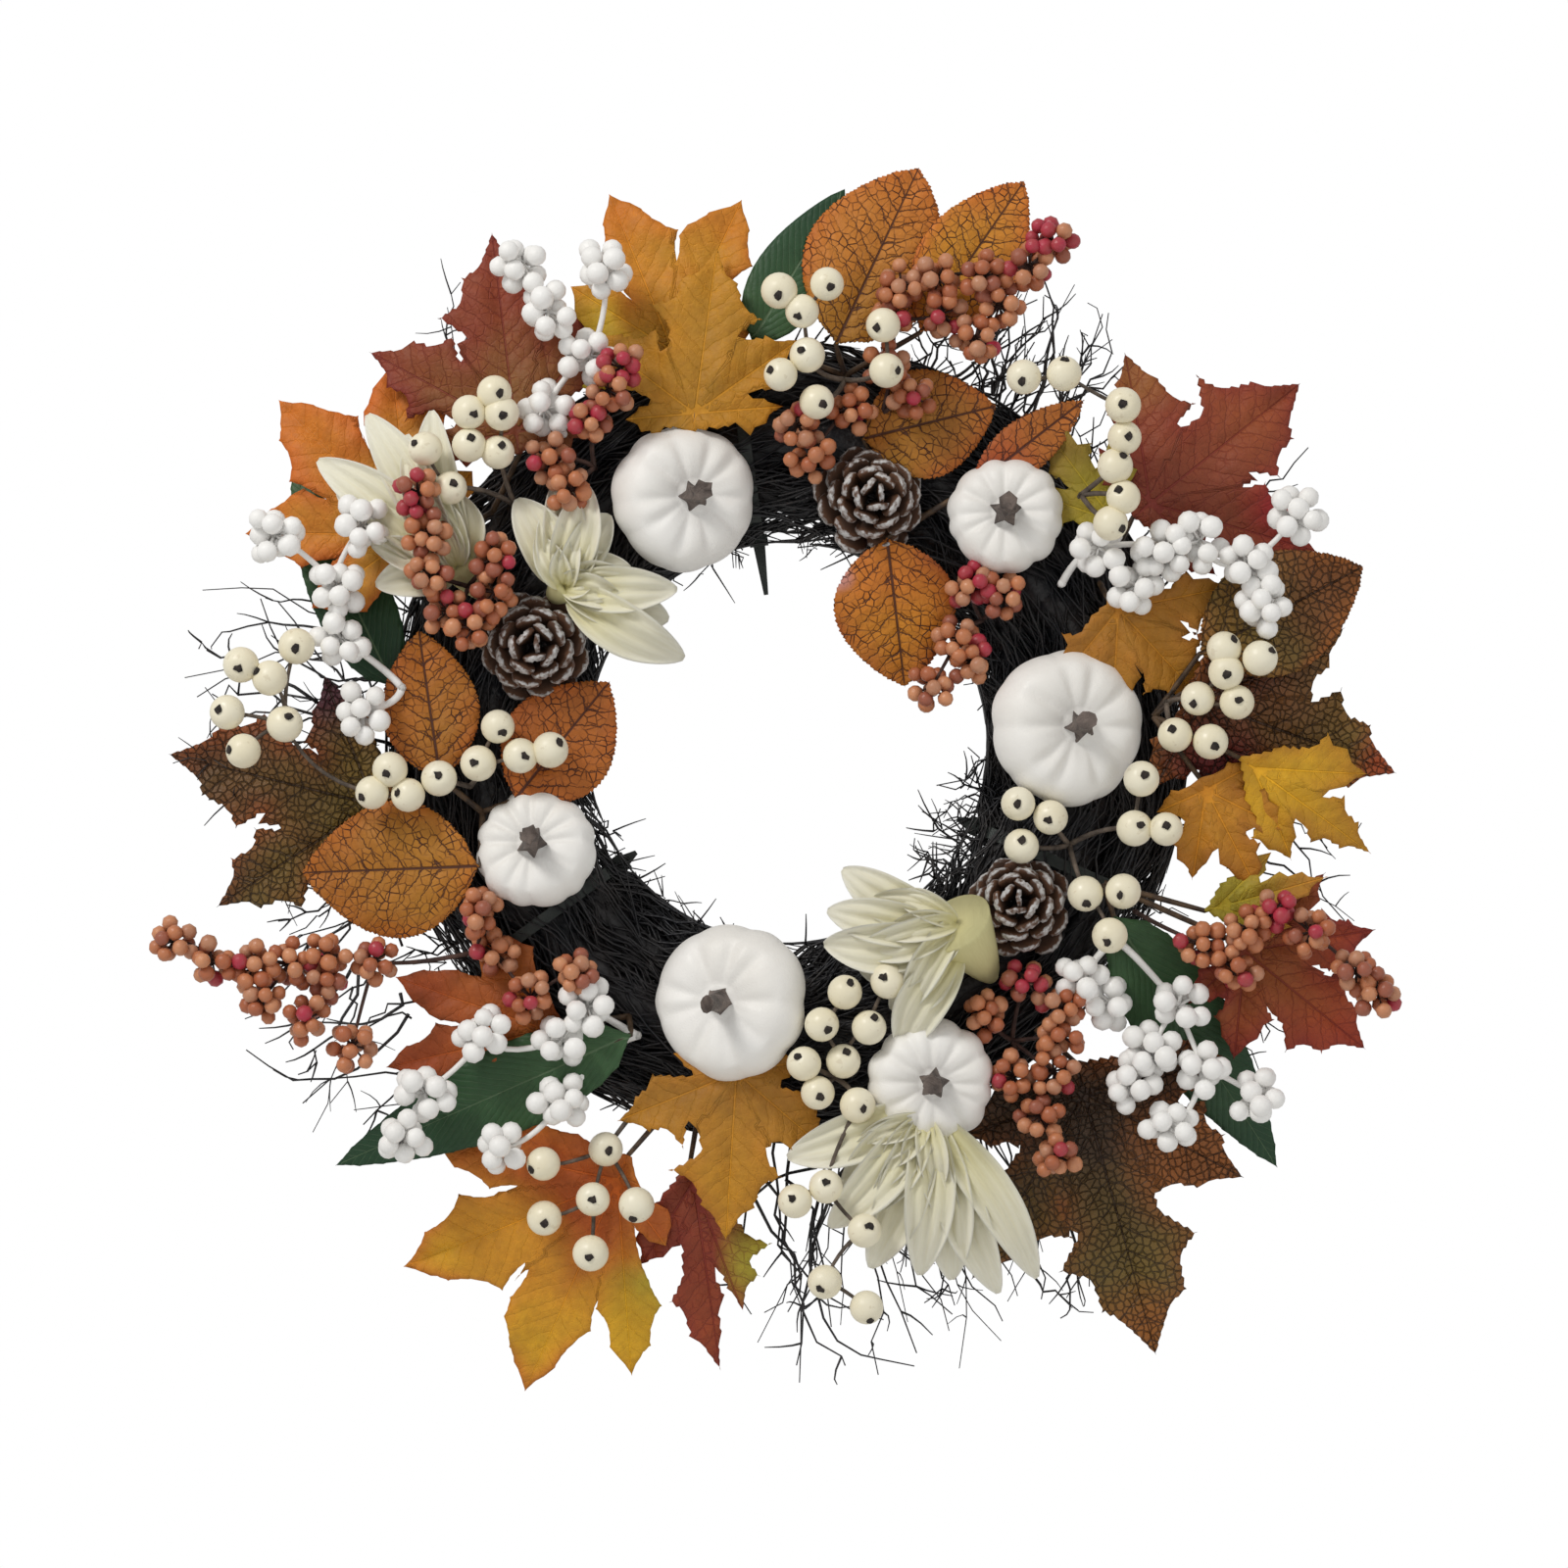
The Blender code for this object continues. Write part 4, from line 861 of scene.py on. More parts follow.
# %% Bead finishes
def bead_finish(name, stops, roughness, fleck_colour, fleck_share):
    """A satin bead whose colour comes from its own tone, with a few darker flecks."""
    finish, tree, shader, where = new_material(name, roughness, specular=0.45)
    tone = node(tree, "ShaderNodeAttribute", attribute_name="tone").outputs["Fac"]
    ramp = node(tree, "ShaderNodeValToRGB", {"Fac": tone})
    ramp.color_ramp.interpolation = "CONSTANT" if len(stops) > 3 else "LINEAR"
    while len(ramp.color_ramp.elements) < len(stops):
        ramp.color_ramp.elements.new(0.5)
    for element, (place, colour) in zip(ramp.color_ramp.elements, stops):
        element.position = place
        element.color = (*colour, 1)
    skin = placed(tree, mottle, {"Place": where, "Size": 170.0})
    marks = times(skin["Blotch"], fleck_share)
    tree.links.new(mixed(marks, ramp.outputs["Color"], fleck_colour), shader.inputs["Base Color"])
    tree.links.new(span(skin["Fleck"], 0, 1, roughness - 0.08, roughness + 0.12),
                   shader.inputs["Roughness"])
    bumped(shader, skin["Fleck"], 0.2, 0.0005)
    return finish


orange_finish = bead_finish("orange_bead", (
    (0.0, (0.46, 0.140, 0.060)), (0.22, (0.58, 0.215, 0.095)), (0.46, (0.66, 0.29, 0.145)),
    (0.66, (0.56, 0.27, 0.155)), (0.80, (0.36, 0.110, 0.065)), (0.92, (0.46, 0.030, 0.065))),
    0.33, (0.30, 0.10, 0.055), 0.40)
white_finish = bead_finish("white_bead", (
    (0.0, (0.93, 0.92, 0.90)), (1.0, (0.97, 0.965, 0.95))), 0.40, (0.88, 0.87, 0.85), 0.4)
dark_stem_finish = mottled_finish("dark_stem", 0.65, 240.0, (0.030, 0.012, 0.010), (0.085, 0.040, 0.028),
                                  (0.5, 0.0005))

# %% Beads on points
bead_tree, given, result = node_tree("beads_on_points", [
    ("Columns", "NodeSocketInt", 8), ("Rows", "NodeSocketInt", 6),
    ("Material", "NodeSocketMaterial", None)])
ball = node(bead_tree, "GeometryNodeMeshUVSphere",
            {"Segments": given["Columns"], "Rings": given["Rows"], "Radius": 1.0})
bead_size = node(bead_tree, "GeometryNodeInputNamedAttribute", {"Name": "size"},
                 data_type="FLOAT").outputs[0]
spin = random_value(bead_tree, (0, 0, 0), (6.28, 6.28, 6.28), 7, "FLOAT_VECTOR")
beads = node(bead_tree, "GeometryNodeInstanceOnPoints",
             {"Points": given["Geometry"], "Instance": ball, "Scale": bead_size,
              "Rotation": spin})
closed_tree(bead_tree, beads, given, result)


def bead_mesh(name, beads, columns, rows, finish):
    """Beads of (place, size, tone) as one mesh."""
    seed = bpy.data.meshes.new(name + "_points")
    seed.from_pydata([tuple(bead[0]) for bead in beads], [], [])
    for label, column in (("size", 1), ("tone", 2)):
        layer = seed.attributes.new(label, "FLOAT", "POINT")
        layer.data.foreach_set("value", [bead[column] for bead in beads])
    return baked(name, bead_tree, {"Columns": columns, "Rows": rows, "Material": finish}, seed)


def clustered(middle, count, size, reach, jitter, flat=1.0):
    """Beads packed round a middle, none of them deep inside another."""
    beads = []
    tries = 0
    while len(beads) < count and tries < 900:
        tries += 1
        way = Vector((jitter.gauss(0, 1), jitter.gauss(0, 1) * flat, jitter.gauss(0, 1))).normalized()
        spot = middle + way * reach * jitter.uniform(0.55, 1.0)
        radius = size * jitter.uniform(0.90, 1.08)
        if all((spot - other[0]).length > (radius + other[1]) * 0.86 for other in beads):
            beads.append((spot, radius, 0.0))
    return beads


def joined(name, slot, solid, stems, mesh):
    """Beads and stems as one piece."""
    piece = stems.make(name, slot, [])
    kinds = len(piece.data.materials)
    for finish in mesh.materials:
        piece.data.materials.append(finish)
    both = bmesh.new()
    both.from_mesh(piece.data)
    both.verts.layers.float.new("tone")
    start = len(both.verts)
    both.from_mesh(mesh)
    both.verts.index_update()
    for face in both.faces:
        if face.verts[0].index >= start:
            face.material_index = kinds
        face.smooth = True
    both.to_mesh(piece.data)
    both.free()
    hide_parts(solid)
    return piece


WHITE_SPRAYS = {
    "top_left": ((324, 30), (
        (331, 95), (339, 79), (331, 73), (324, 42), (333, 50))),
    "left": ((278, 33), (
        (292, 97), (297, 67), (289, 67), (283, 60), (274, 47))),
    "right": ((60, 5), (
        (58, 24), (63, 45), (64, 60), (69, 73), (66, 99), (74, 74), (66, 30))),
    "low_right": ((121, 31), (
        (129, 30), (129, 43), (124, 66), (135, 71), (130, 68), (128, 88), (127, 113), (135, 94))),
    "low_left": ((207, 10), (
        (226, 46), (217, 10), (217, 26), (226, 78), (224, 96), (212, 47), (215, 76))),
}
ORANGE_SPRAYS = {
    "left_top": ((296, 19), (
        (304, 54), (300, 41), (295, 34), (291, 22), (290, 10), (302, 15), (297, 8))),
    "top_left": ((325, 12), (
        (336, 40), (333, 34), (329, 27), (320, 24), (319, 10))),
    "top_right": ((16, 14), (
        (28, 103), (27, 90), (23, 79), (26, 71), (18, 72), (14, 65), (14, 52), (20, 59), (25, 55),
        (15, 33), (20, 25), (11, 13), (5, -8), (2, 4))),
    "right": ((58, -30), (
        (50, -26), (56, -17), (59, -42), (66, -42), (69, -60))),
    "low_right": ((116, 33), (
        (109, 83), (110, 99), (112, 75), (116, 61), (117, 78), (112, 121), (113, 132))),
    "bottom_right": ((143, 28), (
        (135, 13), (144, 13), (134, 31), (137, 38), (141, 47), (146, 39), (146, 58), (147, 74))),
    "left": ((236, 28), (
        (252, 134), (249, 122), (247, 108), (246, 95), (245, 80), (242, 64), (243, 85), (244, 110),
        (240, 98), (235, 89), (241, 18), (234, 22), (225, 22), (223, 2))),
}
WHITE_RADIUS, ORANGE_RADIUS, CRIMSON_TONE = 0.0044, 0.0033, 0.97
SPRAYS = (("white", WHITE_SPRAYS, WHITE_RADIUS, 11, 0.0098, white_finish, white_finish, 0.0013, 10, 7),
          ("orange", ORANGE_SPRAYS, ORANGE_RADIUS, 13, 0.0088, orange_finish, dark_stem_finish, 0.0008, 8,
           6))
for kind, sprays, size, count, reach, finish, stem_kind, thickness, columns, rows in SPRAYS:
    total = 0
    for name, (hub_place, spots) in sprays.items():
        solid = f"{kind}_spray_{name}"
        hub = seated(solid, hub_place, 4)
        jitter = random.Random(kind + name)
        stems = Gather()
        beads = []
        middles = [seated(solid, spot, 7.2) for spot in spots]
        links = branches(hub, middles)
        for middle in middles:
            lump = clustered(middle, count, size, reach, jitter)
            for spot, radius, _ in lump:
                tone = jitter.random()
                beads.append((spot, radius, CRIMSON_TONE if middle is middles[0] and tone < 0.4 else tone))
                twig = bent(middle, spot, Vector((0, 0.0004, 0)), 2)
                stems.add(*tube(twig, thickness * 0.55, 4), stem_kind)
        forked_stems(stems, hub, links, thickness, stem_kind, 0.18 if kind == "white" else 0.10, name, 8)
        mesh = bead_mesh(solid + "_beads", beads, columns, rows, finish)
        joined(f"{kind}_berries_{name}", "berry_" + kind, solid, stems, mesh)
        total += len(beads)
    print(kind, "beads:", total)

# %% [markdown]
# ## The outline of a leaf
# Cloth leaves are stamped out with a die, so their edge is what the eye reads first: deep lobes with
# small teeth on a maple, fine teeth on an oval leaf, almost none on a long green one. A leaf is drawn
# flat, in metres, with its base at the origin and its tip straight up. A maple is drawn from the tips
# of its lobes, each of which is given as shares of the leaf's length.

# %% The outline of a leaf
def toothed(corners, tooth, height, jitter, bulge=0.10):
    """A closed outline with small teeth along each side, pointing the way that the side runs."""
    edge = []
    for n, start in enumerate(corners):
        end = corners[(n + 1) % len(corners)]
        first, side = np.array(start[:2]), np.array(end[:2]) - np.array(start[:2])
        run = float(np.hypot(*side))
        across = np.array((side[1], -side[0])) / max(run, 1e-9)
        toward_tip = start[2] <= end[2]
        count = max(1, round(run / tooth))
        for k in range(count):
            share = k / count
            edge.append(first + side * share + across * run * bulge * share * (1 - share))
            if run > 1.3 * tooth * 0.5 and count > 1:
                peak = share + (0.74 if toward_tip else 0.26) / count
                rise = height * jitter.uniform(0.5, 1.15) * (0.4 if max(start[2], end[2]) > 4 else 1.0)
                edge.append(first + side * peak + across * (rise + run * bulge * peak * (1 - peak)))
    return np.array(edge)


def maple_outline(length, lobes, seed, sinus=0.62, soft=False):
    """A maple leaf: its lobes' tips, clockwise from the left of the base, joined by shoulders."""
    jitter = random.Random(seed)
    origin = np.array((0.0, 0.10))
    tips = [np.array(tip) for tip in lobes]
    tips.sort(key=lambda tip: math.atan2(tip[0] - origin[0], tip[1] - origin[1]))
    turns = [math.atan2(tip[0] - origin[0], tip[1] - origin[1]) for tip in tips]
    rooms = [min(1.1, math.tan((after - before) / 2) / 0.44) for before, after in zip(turns, turns[1:])]
    rooms = [1.0] + rooms + [1.0]
    corners = [(-0.015, 0.0, 0)]
    for n, tip in enumerate(tips):
        way = tip - origin
        reach = float(np.hypot(*way))
        way = way / reach
        right = np.array((way[1], -way[0]))
        if n == 0:
            low = origin - right * reach * 0.20 + way * reach * 0.24
            corners.append((*low, 0))
        sides = ((0.48, 0.18, 1), (0.60, 0.29, 2), (0.66, 0.185, 1.4), (0.79, 0.165, 3), (0.83, 0.090, 2.8))
        if soft:
            sides = ((0.50, 0.22, 1), (0.64, 0.27, 2), (0.72, 0.21, 1.4), (0.84, 0.16, 3),
                     (0.90, 0.09, 2.8))
        lobe = [(spot, -side * rooms[n], level) for spot, side, level in sides] + [(1.0, 0.0, 5)]
        lobe += [(spot, side * rooms[n + 1], level) for spot, side, level in reversed(sides)]
        for spot, side, level in lobe:
            near = side * jitter.uniform(0.85, 1.15) * (1.0 if reach > 0.7 else 1.1)
            corners.append((*(origin + way * reach * spot + right * near * reach), level))
        if n < len(tips) - 1:
            after = tips[n + 1] - origin
            far = float(np.hypot(*after))
            middle = way + after / far
            gap = math.acos(max(-1, min(1, float(way @ (after / far)))))
            middle = middle / np.hypot(*middle)
            deep = sinus * min(reach, far) * (0.85 if gap > 1.0 else 1.0)
            corners.append((*(origin + middle * deep), 0))
        else:
            low = origin + right * reach * 0.20 + way * reach * 0.24
            corners.append((*low, 0))
    corners.append((0.015, 0.0, 0))
    corners = [(x * length, y * length, level) for x, y, level in corners]
    return toothed(corners, 0.0044, 0.0003 if soft else 0.0012, jitter, 0.22 if soft else 0.06)


def oval_outline(length, width, seed, fullest, tooth, height):
    """An oval or long leaf with a pointed tip and fine teeth."""
    jitter = random.Random(seed)
    half = []
    steps = 14
    power = math.log(0.5) / math.log(fullest)
    for n in range(1, steps):
        share = n / steps
        swell = math.sin(math.pi * share ** power) ** 0.80
        half.append((swell * width / 2, share * length))
    left = [(-x, y, y) for x, y in half]
    right = [(x, y, y) for x, y in reversed(half)]
    corners = [(0.0, 0.0, 0.0)] + left + [(0.0, length, length)] + right
    return toothed(corners, tooth, height, jitter)


# %% [markdown]
# ## From an outline to a curved leaf
# The outline and the main veins are filled with even triangles, so that a crease can run exactly along
# a vein. Each point then gets its height: the cloth rises softly away from every vein, sags toward the
# tip and waves at the edge. Two maps are kept with it: where a point is on the leaf, and how far along
# and beside its nearest vein it is. A broad ground colour is painted on each point as with an airbrush.

# %% Filling a leaf
def vein_reach(points, veins):
    """For each point, its run along and its signed distance beside the nearest vein."""
    best = np.full(len(points), 1e9)
    along_vein = np.zeros(len(points))
    beside = np.zeros(len(points))
    for start, end in veins:
        side = end - start
        run = np.hypot(*side)
        way = side / run
        off = points - start
        along_now = np.clip(off @ way, 0, run)
        gap = off - along_now[:, None] * way
        distance = np.hypot(gap[:, 0], gap[:, 1])
        closer = distance < best
        best[closer] = distance[closer]
        along_vein[closer] = along_now[closer] + np.hypot(*start)
        turn = way[0] * off[:, 1] - way[1] * off[:, 0]
        beside[closer] = np.where(turn > 0, distance, -distance)[closer]
    return along_vein, beside


def edge_distance(points, outline):
    """How far each point is from the outline."""
    best = np.full(len(points), 1e9)
    for start, end in zip(outline, np.roll(outline, -1, axis=0)):
        side = end - start
        run = max(float(side @ side), 1e-14)
        share = np.clip((points - start) @ side / run, 0, 1)
        gap = points - start - share[:, None] * side
        best = np.minimum(best, np.hypot(gap[:, 0], gap[:, 1]))
    return best


def within(points, outline):
    """Which points lie inside the outline."""
    inside = np.zeros(len(points), bool)
    for (x0, y0), (x1, y1) in zip(outline, np.roll(outline, -1, axis=0)):
        if y0 == y1:
            continue
        crosses = ((points[:, 1] < y0) != (points[:, 1] < y1)) & (
            points[:, 0] < (x1 - x0) * (points[:, 1] - y0) / (y1 - y0) + x0)
        inside ^= crosses
    return inside


def filled(outline, veins, step):
    """Even triangles inside an outline, with edges along its veins."""
    low, high = outline.min(axis=0), outline.max(axis=0)
    rows = np.arange(low[1], high[1], step * 0.866)
    grid = np.array([(x + (n % 2) * step / 2, y) for n, y in enumerate(rows)
                     for x in np.arange(low[0], high[0], step)])
    grid = grid[within(grid, outline)]
    grid = grid[edge_distance(grid, outline) > step * 0.45]
    _, beside = vein_reach(grid, veins)
    grid = grid[np.abs(beside) > step * 0.4]
    spine = []
    links = []
    base = len(outline) + len(grid)
    for start, end in veins:
        count = max(2, int(np.hypot(*(end - start)) / step))
        first = base + len(spine)
        spine += [start + (end - start) * (0.03 + 0.93 * n / count) for n in range(count + 1)]
        links += [(first + n, first + n + 1) for n in range(count)]
    spine = np.array(spine)
    kept = within(spine, outline) & (edge_distance(spine, outline) > step * 0.2)
    links = [(a, b) for a, b in links if kept[a - base] and kept[b - base]]
    points = np.concatenate([outline, grid, spine])
    used = np.ones(len(points), bool)
    used[base:] = kept
    renamed = np.cumsum(used) - 1
    links = [(int(renamed[a]), int(renamed[b])) for a, b in links]
    points = points[used]
    flat, _, faces, _, _, _ = delaunay_2d_cdt(
        [Vector(point) for point in points], links, [list(range(len(outline)))], 1, 1e-7)
    return np.array([tuple(point) for point in flat]), [tuple(face) for face in faces]


def leaf_shape(gather, finish, base, tip, outline, veins, paint, seed, droop=0.10, fold=0.0024, wave=0.0022,
               curl=0.10, step=0.0021, thickness=0.00055, face_front=FRONT):
    """One cloth leaf from its flat outline to a curved, painted closed shape."""
    length = (tip - base).length
    run = (tip - base) / length
    face = (face_front - run * face_front.dot(run)).normalized()
    sideways = run.cross(face)
    flat, faces = filled(outline, veins, step)
    along_vein, beside = vein_reach(flat, veins)
    rim = edge_distance(flat, outline)
    off = np.hypot(flat[:, 0], flat[:, 1]) / length
    rise = fold * (1 - np.exp(-np.abs(beside) / 0.0045))
    rise -= droop * length * off ** 2
    rise -= curl * np.abs(flat[:, 0]) ** 2 / length
    shift = sum(map(ord, seed)) * 0.37
    waves = np.array([noise.noise(Vector((x / 0.019 + shift, y / 0.019, 0.3))) for x, y in flat])
    rise += wave * waves * np.clip(np.abs(beside) / 0.008, 0, 1) * 1.6
    rise += wave * 0.5 * np.array([noise.noise(Vector((x / 0.007 + shift, y / 0.007, 7.3))) for x,
                                   y in flat]) * (
        np.exp(-rim / 0.004))
    front = [base + sideways * x + run * y + face * (h + thickness / 2) for (x, y), h in zip(flat, rise)]
    back = [point - face * thickness for point in front]
    count = len(flat)
    skin = list(faces) + [tuple(corner + count for corner in reversed(face)) for face in faces]
    edges = {}
    for face_corners in faces:
        for n, corner in enumerate(face_corners):
            pair = (corner, face_corners[(n + 1) % len(face_corners)])
            edges[tuple(sorted(pair))] = None if tuple(sorted(pair)) in edges else pair
    skin += [(b, a, a + count, b + count) for a, b in filter(None, edges.values())]
    leaf = [(0.5 + x / 0.1, y / 0.1) for x, y in flat]
    vein = [(run_on * 1000, off_by * 1000) for run_on, off_by in zip(along_vein, beside)]
    ground = paint(flat / length, rim, shift)
    gather.add(front + back, skin, finish, leaf * 2, vein * 2, ground * 2)


# %% [markdown]
# ## Printed leaf finishes
# The ground colour is printed over with fine detail. Maples have light thread-like veins and a fleck
# like woven cloth. The dark maples are embossed: black hollows run between small raised cells. Oval
# leaves have dark branching veins. Long leaves are green with a pale midrib and close side veins. The
# vein pattern serves all of them, so it is a node group that reads the vein map.

# %% The vein pattern
veins_group, given, result = group(
    "leaf_veins", [("Vein", VECTOR), ("Spacing", FLOAT), ("Slant", FLOAT), ("Width", FLOAT),
                   ("Waver", FLOAT)],
    [("Main", FLOAT), ("Side", FLOAT), ("Swell", FLOAT)])
part = node(veins_group, "ShaderNodeSeparateXYZ", {0: given["Vein"]})
beside = maths("ABSOLUTE", part.outputs["Y"])
ripple = node(veins_group, "ShaderNodeTexNoise",
              {"Vector": given["Vein"], "Scale": 0.13, "Detail": 4.0, "Roughness": 0.6})
waver = times(minus(ripple.outputs["Fac"], 0.5), given["Waver"])
narrow = times(given["Width"], span(part.outputs["X"], 0, 90, 1.25, 0.35))
main = ratio(beside, narrow)
veins_group.links.new(span(main, 0.55, 1.25, 1.0, 0.0), result["Main"])
swept_out = minus(plus(part.outputs["X"], waver), times(beside, given["Slant"]))
beat = maths("FRACT", plus(ratio(swept_out, given["Spacing"]), 20.0))
gap = times(maths("MINIMUM", beat, minus(1.0, beat)), given["Spacing"])
fine_width = times(given["Width"], span(beside, 0, 20, 0.75, 0.16))
veins_group.links.new(span(ratio(gap, fine_width), 0.5, 1.2, 1.0, 0.0), result["Side"])
pillow = ratio(times(gap, 2.0), given["Spacing"])
veins_group.links.new(maths("POWER", pillow, 0.6), result["Swell"])


# %% The leaf finishes
def leaf_finish(name, spacing, slant, width, waver, vein_colour, vein_share, vein_way="MIX", cells=0.0,
                network=0.0, roughness=0.55, fleck=0.30, depth=0.0006, side=0.8, web_share=0.75):
    """A printed cloth leaf: ground colour, fleck, veins, and cells or a fine network where it has them."""
    finish, tree, shader, _ = new_material(name, roughness, specular=0.35)
    ground = node(tree, "ShaderNodeAttribute", attribute_name="ground").outputs["Color"]
    place = node(tree, "ShaderNodeUVMap", uv_map="leaf").outputs["UV"]
    vein_map = node(tree, "ShaderNodeUVMap", uv_map="vein").outputs["UV"]
    print_marks = placed(tree, mottle, {"Place": place, "Size": 14.0})
    weave = placed(tree, mottle, {"Place": place, "Size": 70.0})
    veins = placed(tree, veins_group, {"Vein": vein_map, "Spacing": spacing, "Slant": slant, "Width": width,
                                       "Waver": waver})
    colour = mixed(times(print_marks["Blotch"], 0.34), ground, (1.35, 1.25, 1.1), "MULTIPLY")
    flecked = times(weave["Fleck"], fleck)
    colour = mixed(flecked, colour, (0.45, 0.38, 0.30), "MULTIPLY")
    pit = placed(tree, mottle, {"Place": place, "Size": 34.0})
    colour = mixed(times(pit["Blotch"], fleck), colour, (0.62, 0.52, 0.45), "MULTIPLY")
    lines = maths("MAXIMUM", veins["Main"], times(veins["Side"], side))
    height = plus(times(weave["Blotch"], 0.25), times(veins["Swell"], 0.9))
    if network:
        web = node(tree, "ShaderNodeTexVoronoi", {"Vector": place, "Scale": network, "Randomness": 1.0},
                   feature="DISTANCE_TO_EDGE", voronoi_dimensions="2D")
        threads = span(web.outputs["Distance"], 0.02, 0.09, 1.0, 0.0)
        faint = times(threads, times(print_marks["Blotch"], web_share))
        lines = maths("MAXIMUM", lines, faint)
    if cells:
        warp = node(tree, "ShaderNodeTexNoise", {"Vector": place, "Scale": 16.0})
        bent_place = node(tree, "ShaderNodeVectorMath", {0: place, 1: node(
            tree, "ShaderNodeVectorMath", {0: warp.outputs["Color"], 1: (0.04, 0.04, 0.0)},
            operation="MULTIPLY").outputs[0]}, operation="ADD").outputs[0]
        web = node(tree, "ShaderNodeTexVoronoi", {"Vector": bent_place, "Scale": cells, "Randomness": 0.85},
                   feature="DISTANCE_TO_EDGE", voronoi_dimensions="2D")
        hollow = span(web.outputs["Distance"], 0.01, 0.15, 1.0, 0.0)
        colour = mixed(times(hollow, 0.55), colour, (0.016, 0.010, 0.006))
        height = minus(height, times(hollow, 1.2))
    shown = times(lines, vein_share)
    colour = mixed(shown, colour, vein_colour, vein_way)
    tree.links.new(colour, shader.inputs["Base Color"])
    tree.links.new(span(weave["Fleck"], 0, 1, roughness - 0.08, roughness + 0.15),
                   shader.inputs["Roughness"])
    height = minus(height, times(lines, 0.8))
    bumped(shader, height, 0.8, depth)
    return finish


maple_finish = leaf_finish("maple_print", 8.0, 0.9, 0.42, 5.0, (1.45, 1.40, 1.10), 0.8, "MULTIPLY",
                           network=30.0,
                           side=0.45, web_share=0.4)
red_maple_finish = leaf_finish("red_maple_print", 8.0, 0.9, 0.5, 5.0, (0.20, 0.020, 0.018), 0.60,
                               network=26.0, side=0.6)
dark_maple_finish = leaf_finish("embossed_maple", 10.0, 0.8, 0.70, 4.0, (0.030, 0.014, 0.008), 0.75,
                                cells=33.0,
                                roughness=0.42, depth=0.0013, side=0.85)
oval_finish = leaf_finish("oval_print", 7.6, 0.75, 0.58, 7.5, (0.050, 0.013, 0.010), 0.92, network=30.0,
                          side=0.95, web_share=1.35)
green_finish = leaf_finish("green_print", 4.8, 1.7, 0.45, 3.0, (0.12, 0.19, 0.10), 0.7, roughness=0.45,
                           fleck=0.25, side=0.4,
                            depth=0.00025)
petiole_finish = mottled_finish("leaf_stalk", 0.6, 200.0, (0.035, 0.020, 0.012), (0.13, 0.075, 0.035),
                                (0.4, 0.0004))

# %% [markdown]
# ## Painting the ground colours
# Autumn leaves are airbrushed: one colour at the base, another toward the tip, a darker or brighter
# band at the edge, and now and then a patch of a quite different colour. A paint function takes those
# colours and gives one to every point, with a little noise so that no border is a straight line.

# %% Painting the ground colours
def airbrush(base, tip, edge=None, patches=(), edge_width=0.006, middle=0.5):
    """A paint function: colours by reach and edge, then round patches of (place, size, colour)."""
    base, tip = np.array(base), np.array(tip)

    def paint(flat, rim, shift):
        smooth = np.array([noise.fractal(Vector((x * 2.6 + shift, y * 2.6, 1.7)), 1.0, 2.0, 3) for x,
                           y in flat])
        reach = np.clip((flat[:, 1] + 0.25 * np.abs(flat[:, 0]) - middle) * 1.9 + 0.5 + 0.45 * smooth, 0, 1)
        colours = base + (tip - base) * reach[:, None]
        if edge is not None:
            share = np.exp(-rim / edge_width) * np.clip(0.75 + smooth * 1.2, 0, 1)
            colours = colours + (np.array(edge) - colours) * share[:, None]
        for (x, y), size, colour in patches:
            off = np.hypot(flat[:, 0] - x, flat[:, 1] - y) / size + 0.30 * smooth
            share = np.clip(1.5 - 1.5 * off, 0, 1)
            colours = colours + (np.array(colour) - colours) * share[:, None]
        return [tuple(colour) for colour in np.clip(colours, 0, 1)]

    return paint


GOLD, OCHRE, ORANGE = (0.66, 0.30, 0.020), (0.46, 0.205, 0.022), (0.66, 0.175, 0.022)
YELLOW, OLIVE, LIME = (0.74, 0.42, 0.020), (0.21, 0.145, 0.030), (0.40, 0.33, 0.030)
RUST, BRICK, CRIMSON = (0.42, 0.085, 0.022), (0.27, 0.055, 0.022), (0.33, 0.020, 0.022)
BARK, PURPLE, UMBER = (0.115, 0.052, 0.018), (0.065, 0.012, 0.022), (0.060, 0.032, 0.014)
DEEP_GREEN, LEAF_GREEN = (0.016, 0.060, 0.026), (0.045, 0.115, 0.045)

# %% [markdown]
# ## The leaf picks
# A pick is two to four leaves on one wired stem. Every leaf in the table has its kind, base, tip and
# width, as on the solid model, then the tips of its side lobes and how it was painted.

